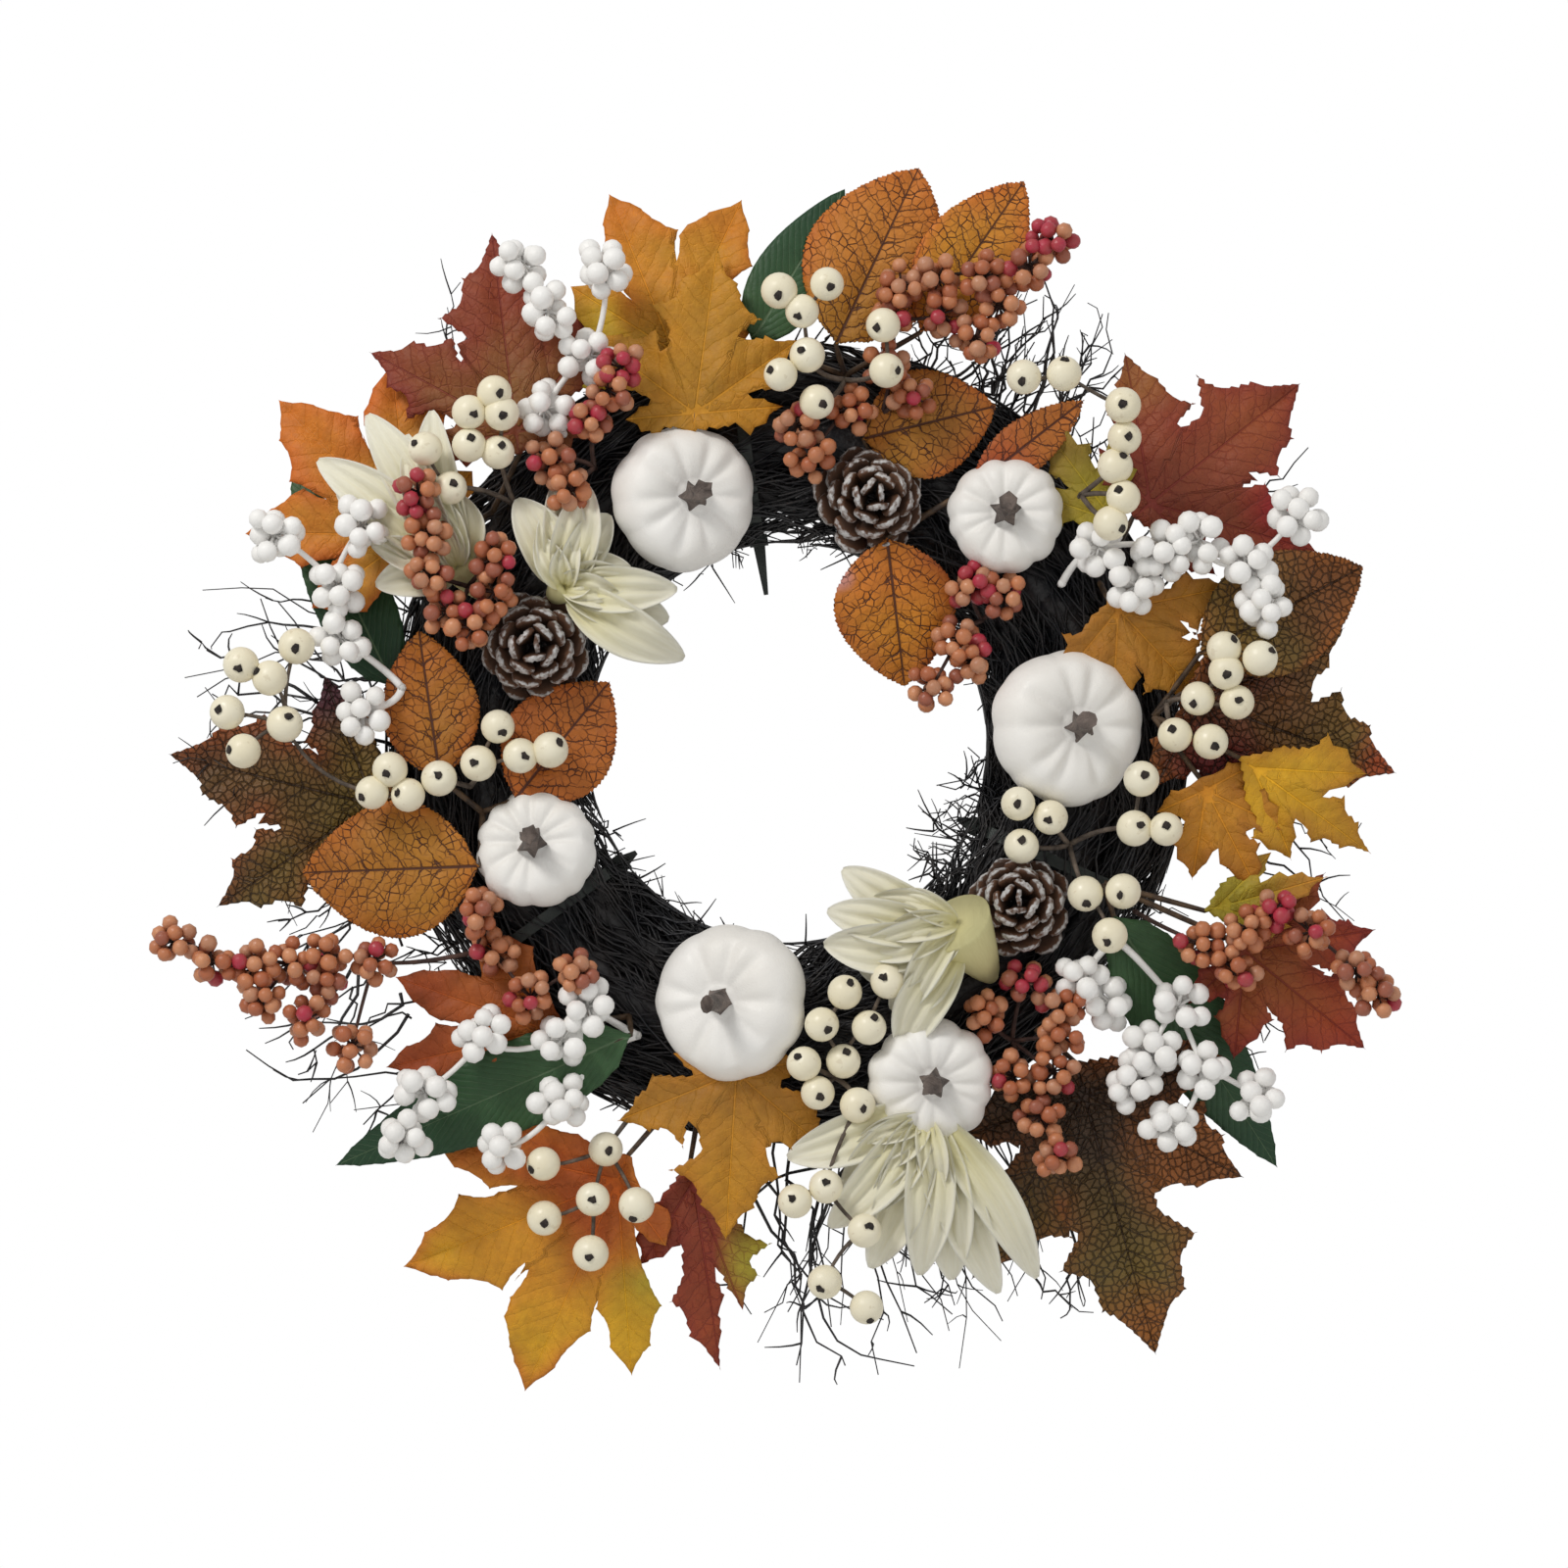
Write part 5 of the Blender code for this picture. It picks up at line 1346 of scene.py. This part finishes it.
# %% The leaf picks
LEAVES = {
    "foliage_pick_low_left": ((210, 5), (
        ("long", (208, 10), (227, 130), 0.036, None, green_finish, airbrush(LEAF_GREEN, DEEP_GREEN)),
        ("soft maple", (218, 22), (231, 86), 0.066,
         ((0.58, 0.34), (0.46, 0.84), (-0.34, 0.62), (-0.30, 0.10), (0, 1)),
         maple_finish, airbrush((0.50, 0.15, 0.025), RUST, (0.34, 0.08, 0.02))))),
    "foliage_pick_left": ((265, 20), (
        ("long", (278, 37), (299, 108), 0.032, None, green_finish, airbrush(DEEP_GREEN, LEAF_GREEN)),
        ("maple", (260, 36), (269, 130), 0.092, ((0.46, 0.44), (-0.56, 0.66), (-0.36, 0.12), (0, 1)),
         dark_maple_finish, airbrush(OLIVE, BARK, (0.30, 0.075, 0.015), (((0.42, 0.42), 0.26, PURPLE),))))),
    "foliage_pick_top": ((9, 27), (
        ("long", (355, 39), (6, 102), 0.030, None, green_finish, airbrush(LEAF_GREEN, DEEP_GREEN)),
        ("oval", (7, 38), (13, 117), 0.058, None, oval_finish,
         airbrush((0.56, 0.23, 0.03), (0.62, 0.22, 0.03), (0.60, 0.17, 0.02), (((0.0, 0.1), 0.3, OCHRE),))),
        ("oval", (18, 50), (23, 126), 0.042, None, oval_finish,
         airbrush(GOLD, (0.66, 0.26, 0.03), ORANGE)))),
    "foliage_pick_low_right": ((114, 17), (
        ("long", (118, 26), (131, 143), 0.038, None, green_finish, airbrush(LEAF_GREEN, DEEP_GREEN)),
        ("maple", (114, 72), (118, 143), 0.072,
         ((0.50, 0.45), (-0.55, 0.62), (0.42, 0.05), (-0.62, 0.20), (0, 1)),
         red_maple_finish, airbrush((0.34, 0.095, 0.02), (0.40, 0.060, 0.018), (0.26, 0.028, 0.018))),
        ("maple", (112, 58), (104, 101), 0.040, ((0.30, 0.62), (-0.30, 0.62), (0, 1)),
         maple_finish, airbrush(LIME, (0.52, 0.24, 0.03))))),
    "maple_pick_bottom_right": ((139, 30), (
        ("maple", (138, 50), (149, 169), 0.105,
         ((-0.42, 0.52), (0.50, 0.60), (-0.46, 0.12), (0.42, 0.14), (0, 1)), dark_maple_finish,
         airbrush(UMBER, OLIVE, (0.24, 0.075, 0.015),
                  (((0.0, 0.95), 0.22, (0.33, 0.12, 0.02)), ((-0.3, 0.4), 0.26, (0.30, 0.10, 0.02))))),)),
    "maple_pick_bottom": ((194, 12), (
        ("soft maple", (201, 55), (202, 163), 0.100,
         ((0.60, 0.76), (-0.34, 0.78), (0.70, 0.26), (-0.26, 0.26), (0, 1)),
         maple_finish, airbrush((0.52, 0.12, 0.022), YELLOW, (0.60, 0.20, 0.02),
                                (((-0.30, 0.45), 0.20, LIME), ((-0.25, 0.62), 0.24, YELLOW),
                                 ((0.3, 0.5), 0.25, GOLD)))),
        ("maple", (193, 50), (186, 134), 0.056, ((-0.14, 0.74), (0.30, 0.46), (0, 1)),
         red_maple_finish, airbrush(BRICK, (0.34, 0.07, 0.02), (0.25, 0.035, 0.02),
                                    (((-0.28, 0.52), 0.24, LIME),))),
        ("maple", (189, 4), (187, 79), 0.072,
         ((0.62, 0.40), (-0.50, 0.48), (0.34, 0.02), (-0.34, 0.02), (0, 1)),
         maple_finish, airbrush((0.40, 0.185, 0.022), (0.62, 0.30, 0.022), (0.50, 0.21, 0.02))))),
    "maple_pick_top_left": ((308, 28), (
        ("soft maple", (298, 41), (304, 126), 0.094,
         ((-0.54, 0.67), (0.50, 0.77), (-0.56, 0.20), (0.40, 0.12), (0, 1)),
         maple_finish, airbrush((0.62, 0.33, 0.04), (0.66, 0.20, 0.022), (0.62, 0.15, 0.018))),
        ("maple", (317, 35), (330, 116), 0.092,
         ((0.52, 0.62), (-0.60, 0.55), (0.36, 0.12), (-0.40, 0.08), (0, 1)),
         red_maple_finish, airbrush((0.27, 0.115, 0.03), (0.30, 0.060, 0.024), (0.24, 0.032, 0.02))))),
    "maple_pick_top": ((344, 3), (
        ("soft maple", (344, 33), (342, 111), 0.086,
         ((0.62, 0.72), (-0.36, 0.62), (0.48, 0.16), (-0.56, 0.22), (0, 1)),
         maple_finish, airbrush((0.62, 0.34, 0.025), (0.64, 0.25, 0.022), (0.66, 0.21, 0.02),
                                (((-0.5, 0.2), 0.36, (0.62, 0.47, 0.02)),
                                 ((0.0, 0.95), 0.22, (0.62, 0.20, 0.02))))),
        ("maple", (343, 7), (352, 78), 0.080,
         ((0.50, 0.57), (-0.62, 0.45), (0.46, 0.20), (-0.36, 0.02), (0, 1)),
         maple_finish, airbrush((0.44, 0.22, 0.022), (0.56, 0.27, 0.022), (0.60, 0.27, 0.02))))),
    "maple_pick_right_top": ((60, 30), (
        ("maple", (57, 43), (55, 132), 0.084,
         ((0.64, 0.58), (-0.60, 0.46), (0.44, 0.14), (-0.34, 0.08), (0, 1)),
         red_maple_finish, airbrush((0.23, 0.050, 0.022), (0.34, 0.085, 0.025), (0.28, 0.04, 0.02),
                                    (((0.42, 0.60), 0.24, CRIMSON),
                                     ((-0.5, 0.4), 0.24, (0.34, 0.12, 0.03))))),
        ("maple", (58, 36), (38, 42), 0.042, ((0.34, 0.60), (-0.34, 0.60), (0, 1)),
         maple_finish, airbrush(LIME, (0.30, 0.20, 0.03))))),
    "maple_pick_right": ((86, 25), (
        ("maple", (83, 36), (93, 125), 0.092,
         ((-0.50, 0.58), (0.42, 0.50), (-0.42, 0.12), (0.40, 0.04), (0, 1)),
         dark_maple_finish, airbrush((0.15, 0.048, 0.018), OLIVE, (0.30, 0.095, 0.016),
                                     (((0.25, 0.25), 0.26, (0.17, 0.02, 0.02)), ((0.0, 0.95), 0.2, RUST)))),
        ("oval", (78, 46), (73, 120), 0.050, None, dark_maple_finish,
         airbrush(OLIVE, (0.20, 0.075, 0.02), (0.40, 0.13, 0.02))),
        ("maple", (95, 43), (108, 77), 0.052,
         ((0.40, 0.66), (-0.40, 0.66), (0.40, 0.08), (-0.40, 0.10), (0, 1)),
         maple_finish, airbrush((0.56, 0.25, 0.02), (0.62, 0.27, 0.02), (0.44, 0.17, 0.02))),
        ("maple", (92, 58), (101, 119), 0.044, ((0.30, 0.62), (-0.36, 0.70), (0, 1)),
         maple_finish, airbrush(YELLOW, (0.66, 0.36, 0.02), (0.52, 0.24, 0.02))))),
    "oval_pick_top_right": ((30, -20), (
        ("oval", (14, 3), (32, 37), 0.045, None, oval_finish,
         airbrush(OCHRE, (0.40, 0.17, 0.025), (0.5, 0.14, 0.02))),
        ("oval", (36, 4), (41, 60), 0.022, None, oval_finish, airbrush(RUST, (0.52, 0.17, 0.03))),
        ("oval", (26, -31), (66, -70), 0.050, None, oval_finish,
         airbrush((0.62, 0.20, 0.022), (0.66, 0.26, 0.02), (0.44, 0.11, 0.02),
                  (((0.34, 0.22), 0.10, (0.62, 0.28, 0.24)),))))),
    "oval_pick_left": ((257, 3), (
        ("oval", (264, 17), (287, 32), 0.040, None, oval_finish,
         airbrush((0.42, 0.17, 0.02), (0.50, 0.17, 0.02), (0.50, 0.14, 0.02))),
        ("oval", (258, -11), (289, -47), 0.046, None, oval_finish,
         airbrush((0.50, 0.15, 0.02), (0.42, 0.13, 0.02), (0.52, 0.13, 0.02))),
        ("oval", (248, 10), (255, 81), 0.056, None, oval_finish,
         airbrush((0.46, 0.20, 0.02), (0.44, 0.16, 0.02), (0.55, 0.17, 0.02))))),
    "maple_leaf_front": ((63, 19), (
        ("maple", (66, 18), (85, 47), 0.058,
         ((0.54, 0.62), (-0.70, 0.55), (0.60, 0.18), (-0.40, 0.10), (0, 1)),
         maple_finish, airbrush((0.42, 0.19, 0.022), (0.54, 0.25, 0.022), (0.42, 0.17, 0.02))),)),
}
# Where each kind is fullest, then the size and the height of its teeth.
EDGES = {"oval": (0.45, 0.0019, 0.0006), "long": (0.38, 0.0042, 0.0002)}
# How each kind of leaf is formed: its fold at a vein, its waves and its curl.
STYLES = {"maple": (0.0026, 0.0024, 0.12), "soft maple": (0.0028, 0.0026, 0.12),
          "oval": (0.0018, 0.0014, 0.22),
          "long": (0.0010, 0.0010, 0.30)}
# How far in front of its solid each of these leaves lies, in millimetres, so that crossing leaves stay apart.
FORWARD = {"maple_leaf_front0": 9, "maple_pick_bottom1": -7, "maple_pick_bottom2": 3, "maple_pick_top0": -3,
           "maple_pick_top1": 4, "maple_pick_top_left0": 1, "oval_pick_left0": 2, "oval_pick_left2": 2,
           "foliage_pick_low_left0": 9, "foliage_pick_low_left1": -3, "foliage_pick_left1": -6}
leaf_count = 0
for name, (hub_place, leaves) in LEAVES.items():
    pick = Gather()
    hub = seated(name, hub_place, 4)
    for number, (kind, base_place, tip_place, width, lobes, finish, paint) in enumerate(leaves):
        seed = f"{name}{number}"
        lift = FRONT * FORWARD.get(seed, 0) * MM
        base, tip = seated(name, base_place, 3.5) + lift, seated(name, tip_place, 3.5) + lift
        length = (tip - base).length
        if "maple" in kind:
            outline = maple_outline(length, lobes, seed, soft=kind == "soft maple")
            origin = np.array((0.0, 0.10)) * length
            veins = [(origin, np.array(lobe) * length) for lobe in lobes]
            veins.append((np.array((0.0, 0.004)), origin))
        else:
            outline = oval_outline(length, width, seed, *EDGES[kind])
            veins = [(np.array((0.0, 0.002)), np.array((0.0, length * 0.98)))]
        fold, wave, curl = STYLES[kind]
        leaf_shape(pick, finish, base, tip, outline, veins, paint, seed, fold=fold, wave=wave, curl=curl,
                   droop=0.10 + 0.02 * number)
        stalk_end = base.lerp(tip, 0.16) + Vector((0, 0.0006, 0))
        stalk = bent(hub + Vector((0, 0.001, 0)), base + Vector((0, 0.0004, 0)), Vector((0, 0.0006, 0)),
                     4) + [stalk_end]
        pick.add(*tube(stalk, [0.0013, 0.0012, 0.0012, 0.0011, 0.0010, 0.0005], 6), petiole_finish)
        leaf_count += 1
    slot = "leaf_green" if name.startswith("foliage") else "leaf_autumn"
    piece = pick.make(name + "_leaves", slot, [name])
    print(name, len(piece.data.polygons), "faces")
print("leaves:", leaf_count)

# %% [markdown]
# ## Cloth flowers
# The ivory flowers are trumpets of stiffened cloth: long pointed petals, pressed with ribs and curled
# at their edges, fan out of a pale yellow throat. A petal is a grid of points that follows its own
# bowed line, cupped across, so it catches the light along its ribs. Shorter petals stand in front.

# %% Ivory cloth
petal_finish, tree, shader, _ = new_material("ivory_cloth", 0.62, specular=0.3)
ground = node(tree, "ShaderNodeAttribute", attribute_name="ground").outputs["Color"]
place = node(tree, "ShaderNodeUVMap", uv_map="leaf").outputs["UV"]
stretched = node(tree, "ShaderNodeMapping", {"Vector": place, "Scale": (9.0, 0.7, 1.0)}).outputs[0]
fibres = placed(tree, mottle, {"Place": stretched, "Size": 11.0})
cloth = placed(tree, mottle, {"Place": place, "Size": 60.0})
shade = mixed(times(fibres["Blotch"], 0.22), ground, (0.80, 0.74, 0.55), "MULTIPLY")
tree.links.new(shade, shader.inputs["Base Color"])
tree.links.new(span(cloth["Fleck"], 0, 1, 0.52, 0.72), shader.inputs["Roughness"])
bumped(shader, plus(fibres["Fleck"], times(cloth["Fleck"], 0.3)), 0.45, 0.0006)
PALE_YELLOW, IVORY, IVORY_TIP = (0.78, 0.73, 0.38), (0.90, 0.87, 0.69), (0.95, 0.94, 0.87)
CLOTH = 0.00055


# %% Petals and trumpets
def petal(gather, base, tip, width, seed, lift=0.20, cup=0.30, curl=0.16):
    """One curled, ribbed petal from base to tip."""
    jitter = random.Random(seed)
    length = (tip - base).length
    run = (tip - base) / length
    face = (FRONT - run * FRONT.dot(run)).normalized()
    sideways = run.cross(face)
    lean = jitter.uniform(-0.35, 0.35)
    side_bow = jitter.uniform(-0.06, 0.06) * length
    rows, columns = 26, 15
    skin, maps, ground_colours = [], [], []
    for row in range(rows):
        v = row / (rows - 1)
        swell = (0.42 + 0.58 * math.sin(math.pi * min(1, v ** 0.9)) ** 0.8) if v < 0.5 else (
            math.sin(math.pi * (0.5 + (v - 0.5) * 0.98)) ** 0.62)
        half = max(0.0004, width / 2 * swell)
        middle = base + run * length * v + sideways * side_bow * math.sin(math.pi * v)
        curled = curl * length * max(0, v - 0.72) ** 1.5 * 3
        middle += face * (lift * length * math.sin(math.pi * v ** 0.85) - curled)
        for column in range(columns):
            u = 2 * column / (columns - 1) - 1
            depth = cup * half * (u * u - 0.3) + lean * half * u * v
            depth -= 0.0014 * math.cos(3.0 * math.pi * u) * math.sin(math.pi * min(1, v * 1.1)) ** 0.5
            depth += 0.0005 * math.sin(9 * v + 3 * u + lean * 9)
            skin.append(middle + sideways * half * u * (1 - 0.10 * abs(u) * v) + face * depth)
            maps.append((u * half / 0.1 + 0.5, v * length / 0.1))
            share = min(1, v * 1.7)
            colour = [a + (b - a) * share for a, b in zip(PALE_YELLOW, IVORY)]
            rim = max(0, abs(u) - 0.55) * 1.2 + max(0, v - 0.6) * 1.2
            ground_colours.append(tuple(a + (b - a) * min(1, rim) for a, b in zip(colour, IVORY_TIP)))
    back = [point - face * CLOTH for point in skin]
    count = rows * columns
    faces = []
    for row in range(rows - 1):
        for column in range(columns - 1):
            corner = row * columns + column
            faces.append((corner, corner + 1, corner + columns + 1, corner + columns))
            faces.append((count + corner, count + corner + columns, count + corner + columns + 1,
                          count + corner + 1))
    border = list(range(columns)) + [row * columns + columns - 1 for row in range(1, rows)]
    border += [(rows - 1) * columns + column for column in range(columns - 2, -1, -1)]
    border += [row * columns for row in range(rows - 2, 0, -1)]
    for n, corner in enumerate(border):
        after = border[(n + 1) % len(border)]
        faces.append((after, corner, corner + count, after + count))
    gather.add(skin + back, faces, petal_finish, maps * 2, None, ground_colours * 2)


def trumpet(gather, hub, throat, radius):
    """The smooth tapered body that the petals grow from."""
    path = bent(hub, throat, FRONT * 0.002, 8)
    radii = [0.0032 + (radius - 0.0032) * (n / 8) ** 0.8 for n in range(9)]
    points, faces = tube(path, radii, 28)
    gather.add(points, faces, petal_finish, [(n % 28 / 28, n // 28 / 9) for n in range(len(points))], None,
               [PALE_YELLOW] * len(points))


PETAL_WIDTH, INNER_WIDTH, SHORT_WIDTH = 0.0205, 0.0155, 0.0130
FLOWERS = {
    "flower_top_left": ((296, 15), (298, 27), 0.007, (
        (308, 91), (313, 72), (307, 71), (301, 97), (299, 83), (291, 53), (307, 42))),
    "flower_left": ((302, -12), (305, -14), 0.007, (
        (312, 23), (319, 17), (322, 7), (322, -7), (318, -29), (324, -47), (316, -54), (309, -69))),
    "flower_low_right": ((139, 3), (137, -24), 0.015, (
        (157, -67), (167, -53), (170, -40), (163, -28), (159, -7), (160, 9))),
    "flower_bottom": ((155, 28), (160, 38), 0.008, (
        (180, 44), (173, 59), (175, 72), (171, 91), (169, 83), (166, 97), (163, 103), (159, 114),
        (155, 114))),
}
for name, (hub_place, throat_place, throat_radius, tips) in FLOWERS.items():
    jitter = random.Random(name)
    flower = Gather()
    hub = seated(name, hub_place, 4)
    throat = seated(name, throat_place, 5)
    trumpet(flower, hub, throat, throat_radius)
    ends = [seated(name, tip_place, 3.5) for tip_place in tips]
    for number, end in enumerate(ends):
        way = (end - throat).normalized()
        base = throat.lerp(hub, 0.22) + way * throat_radius * 0.6 + FRONT * throat_radius * 0.45
        petal(flower, base, end, PETAL_WIDTH * jitter.uniform(0.9, 1.1), f"{name}{number}",
              lift=jitter.uniform(0.10, 0.20))
        after = ends[(number + 1) % len(ends)]
        between = (end + after) / 2
        if (end - after).length < 0.055 and number % 2 == 0:
            inner = throat.lerp(between, jitter.uniform(0.66, 0.90)) + FRONT * jitter.uniform(0.002, 0.005)
            petal(flower, throat + FRONT * 0.002, inner, INNER_WIDTH * jitter.uniform(0.85, 1.1),
                  f"{name}{number}b", lift=jitter.uniform(0.12, 0.26), cup=0.42)
            short = throat.lerp(end, jitter.uniform(0.42, 0.62)) + FRONT * jitter.uniform(0.004, 0.007)
            petal(flower, throat + FRONT * 0.003, short, SHORT_WIDTH * jitter.uniform(0.85, 1.1),
                  f"{name}{number}c", lift=jitter.uniform(0.16, 0.30), cup=0.55)
    flower.make(name + "_petals", "petal_ivory", [name])
    print(name, "petals on", len(ends), "lines")

# %% [markdown]
# ## Loose twigs
# Twig ends stick out of the mat in untidy tufts, with short side shoots. Each tuft in the table has the
# clock places that it covers, where its twigs leave the mat and how far they reach, and how many there
# are. A twig wanders a little at every step and gets thinner to its end.

# %% Loose twigs
TUFTS = (
    ((268, 286), (30, 70), (85, 134), 17), ((262, 270), (40, 60), (95, 118), 4),
    ((24, 44), (28, 44), (58, 98), 34), ((48, 64), (28, 40), (60, 84), 6),
    ((94, 132), (-26, -34), (-46, -58), 20), ((153, 184), (30, 60), (92, 140), 36),
    ((228, 243), (60, 84), (104, 134), 12), ((150, 155), (96, 120), (128, 150), 4),
    ((244, 254), (50, 70), (86, 118), 8), ((98, 108), (60, 80), (96, 118), 6),
    ((322, 328), (60, 80), (98, 110), 3), ((340, 20), (-24, -34), (-38, -48), 10),
    ((205, 235), (-28, -34), (-38, -46), 10), ((60, 62), (70, 90), (118, 136), 1),
    ((110, 126), (60, 84), (100, 118), 8), ((0, 359), (26, 36), (40, 58), 60),
    ((0, 359), (-26, -34), (-36, -46), 26))
tufts = Gather()
jitter = random.Random("tufts")
for (first, last), starts, ends, number in TUFTS:
    sweep = (last - first) % 360
    for _ in range(number):
        clock = first + sweep * jitter.random()
        start_out, end_out = jitter.uniform(*sorted(starts)), jitter.uniform(*sorted(ends))
        root = on_ring((clock + jitter.uniform(-9, 9), start_out), jitter.uniform(0.004, 0.020))
        end = on_ring((clock, end_out), jitter.uniform(0.002, 0.026))
        run = end - root
        bow = Vector((jitter.uniform(-1, 1), jitter.uniform(-0.2, 0.5),
                      jitter.uniform(-1, 1))) * run.length * 0.24
        path = bent(root, end, bow, 8)
        path = [point + Vector((jitter.gauss(0, 0.0015), jitter.gauss(0, 0.0008), jitter.gauss(0, 0.0015)))
                for point in path]
        thick = jitter.uniform(0.00050, 0.00085)
        tufts.add(*tube(path, [thick * (1 - 0.65 * n / 8) for n in range(9)], 5), twig_finish)
        for _ in range(jitter.randint(1, 3)):
            n = jitter.randint(3, 7)
            way = run.normalized() * jitter.uniform(0.3, 0.9) + Vector(
                (jitter.uniform(-1, 1), jitter.uniform(-0.3, 0.3), jitter.uniform(-1, 1)))
            shoot = path[n] + way.normalized() * jitter.uniform(0.006, 0.018)
            side_path = bent(path[n], shoot, bow * 0.12, 3)
            tufts.add(*tube(side_path, [thick * 0.6, thick * 0.5, thick * 0.4, thick * 0.25], 4),
                      twig_finish)
piece = tufts.make("loose_twigs", "twig_bark", [])
print("loose twigs:", len(piece.data.polygons), "faces")

# %% [markdown]
# ## Hoop, hanging loop and ties
# These solids already have the right shape, so they stay and only get better finishes: dull drawn steel
# with faint flecks for the hoop and its loop, and satin dark plastic for the cable ties.

# %% Steel and tie plastic
steel_finish = mottled_finish("drawn_steel", 0.36, 260.0, (0.16, 0.16, 0.17), (0.34, 0.33, 0.32),
                              (0.25, 0.0003),
                              gloss=(0.26, 0.50), metallic=1.0)
tie_finish = mottled_finish("tie_plastic_dark", 0.42, 220.0, (0.010, 0.016, 0.014), (0.028, 0.036, 0.032),
                            (0.3, 0.0003), gloss=(0.32, 0.52))
for name in ("wire_hoop", "hanging_loop"):
    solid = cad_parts[name]
    solid.data.materials.clear()
    solid.data.materials.append(steel_finish)

# %% [markdown]
# A cable tie is a moulded strap with rounded edges, a square head and a tail that narrows to a point.
# A merged copy of each solid tie is tapered along its tail and its edges are rounded.

# %% Cable ties
TAIL_START, TAIL_NARROWING, EDGE_ROUNDING = -0.041, 0.62, 0.00035
TIES = (("cable_tie_top", 352), ("cable_tie_right", 114), ("cable_tie_left", 234))
for name, clock in TIES:
    strap = bmesh.new()
    strap.from_mesh(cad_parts[name].data)
    bmesh.ops.remove_doubles(strap, verts=strap.verts, dist=0.00002)
    way = outward(clock)
    middle = on_ring((clock, 0))
    low_out = min((corner.co - middle).dot(way) for corner in strap.verts)
    tail_front = [corner for corner in strap.verts if (corner.co - middle).dot(way) < TAIL_START - 0.001]
    for corner in tail_front:
        out = (corner.co - middle).dot(way)
        share = min(1.0, (TAIL_START - out) / max(1e-6, TAIL_START - low_out))
        off = corner.co - middle - way * out
        off.y = 0
        corner.co -= off * TAIL_NARROWING * share
    sharp = [edge for edge in strap.edges if len(edge.link_faces) == 2 and edge.calc_face_angle() > 0.7]
    bmesh.ops.bevel(strap, geom=sharp, offset=EDGE_ROUNDING, segments=2, profile=0.5, affect="EDGES",
                    clamp_overlap=True)
    mesh = bpy.data.meshes.new(name + "_strap")
    strap.to_mesh(mesh)
    strap.free()
    mesh.materials.clear()
    mesh.materials.append(tie_finish)
    mesh.polygons.foreach_set("material_index", [0] * len(mesh.polygons))
    finished(name + "_strap", mesh, [name], smooth=False)
print("ties with tails:", len(TIES))
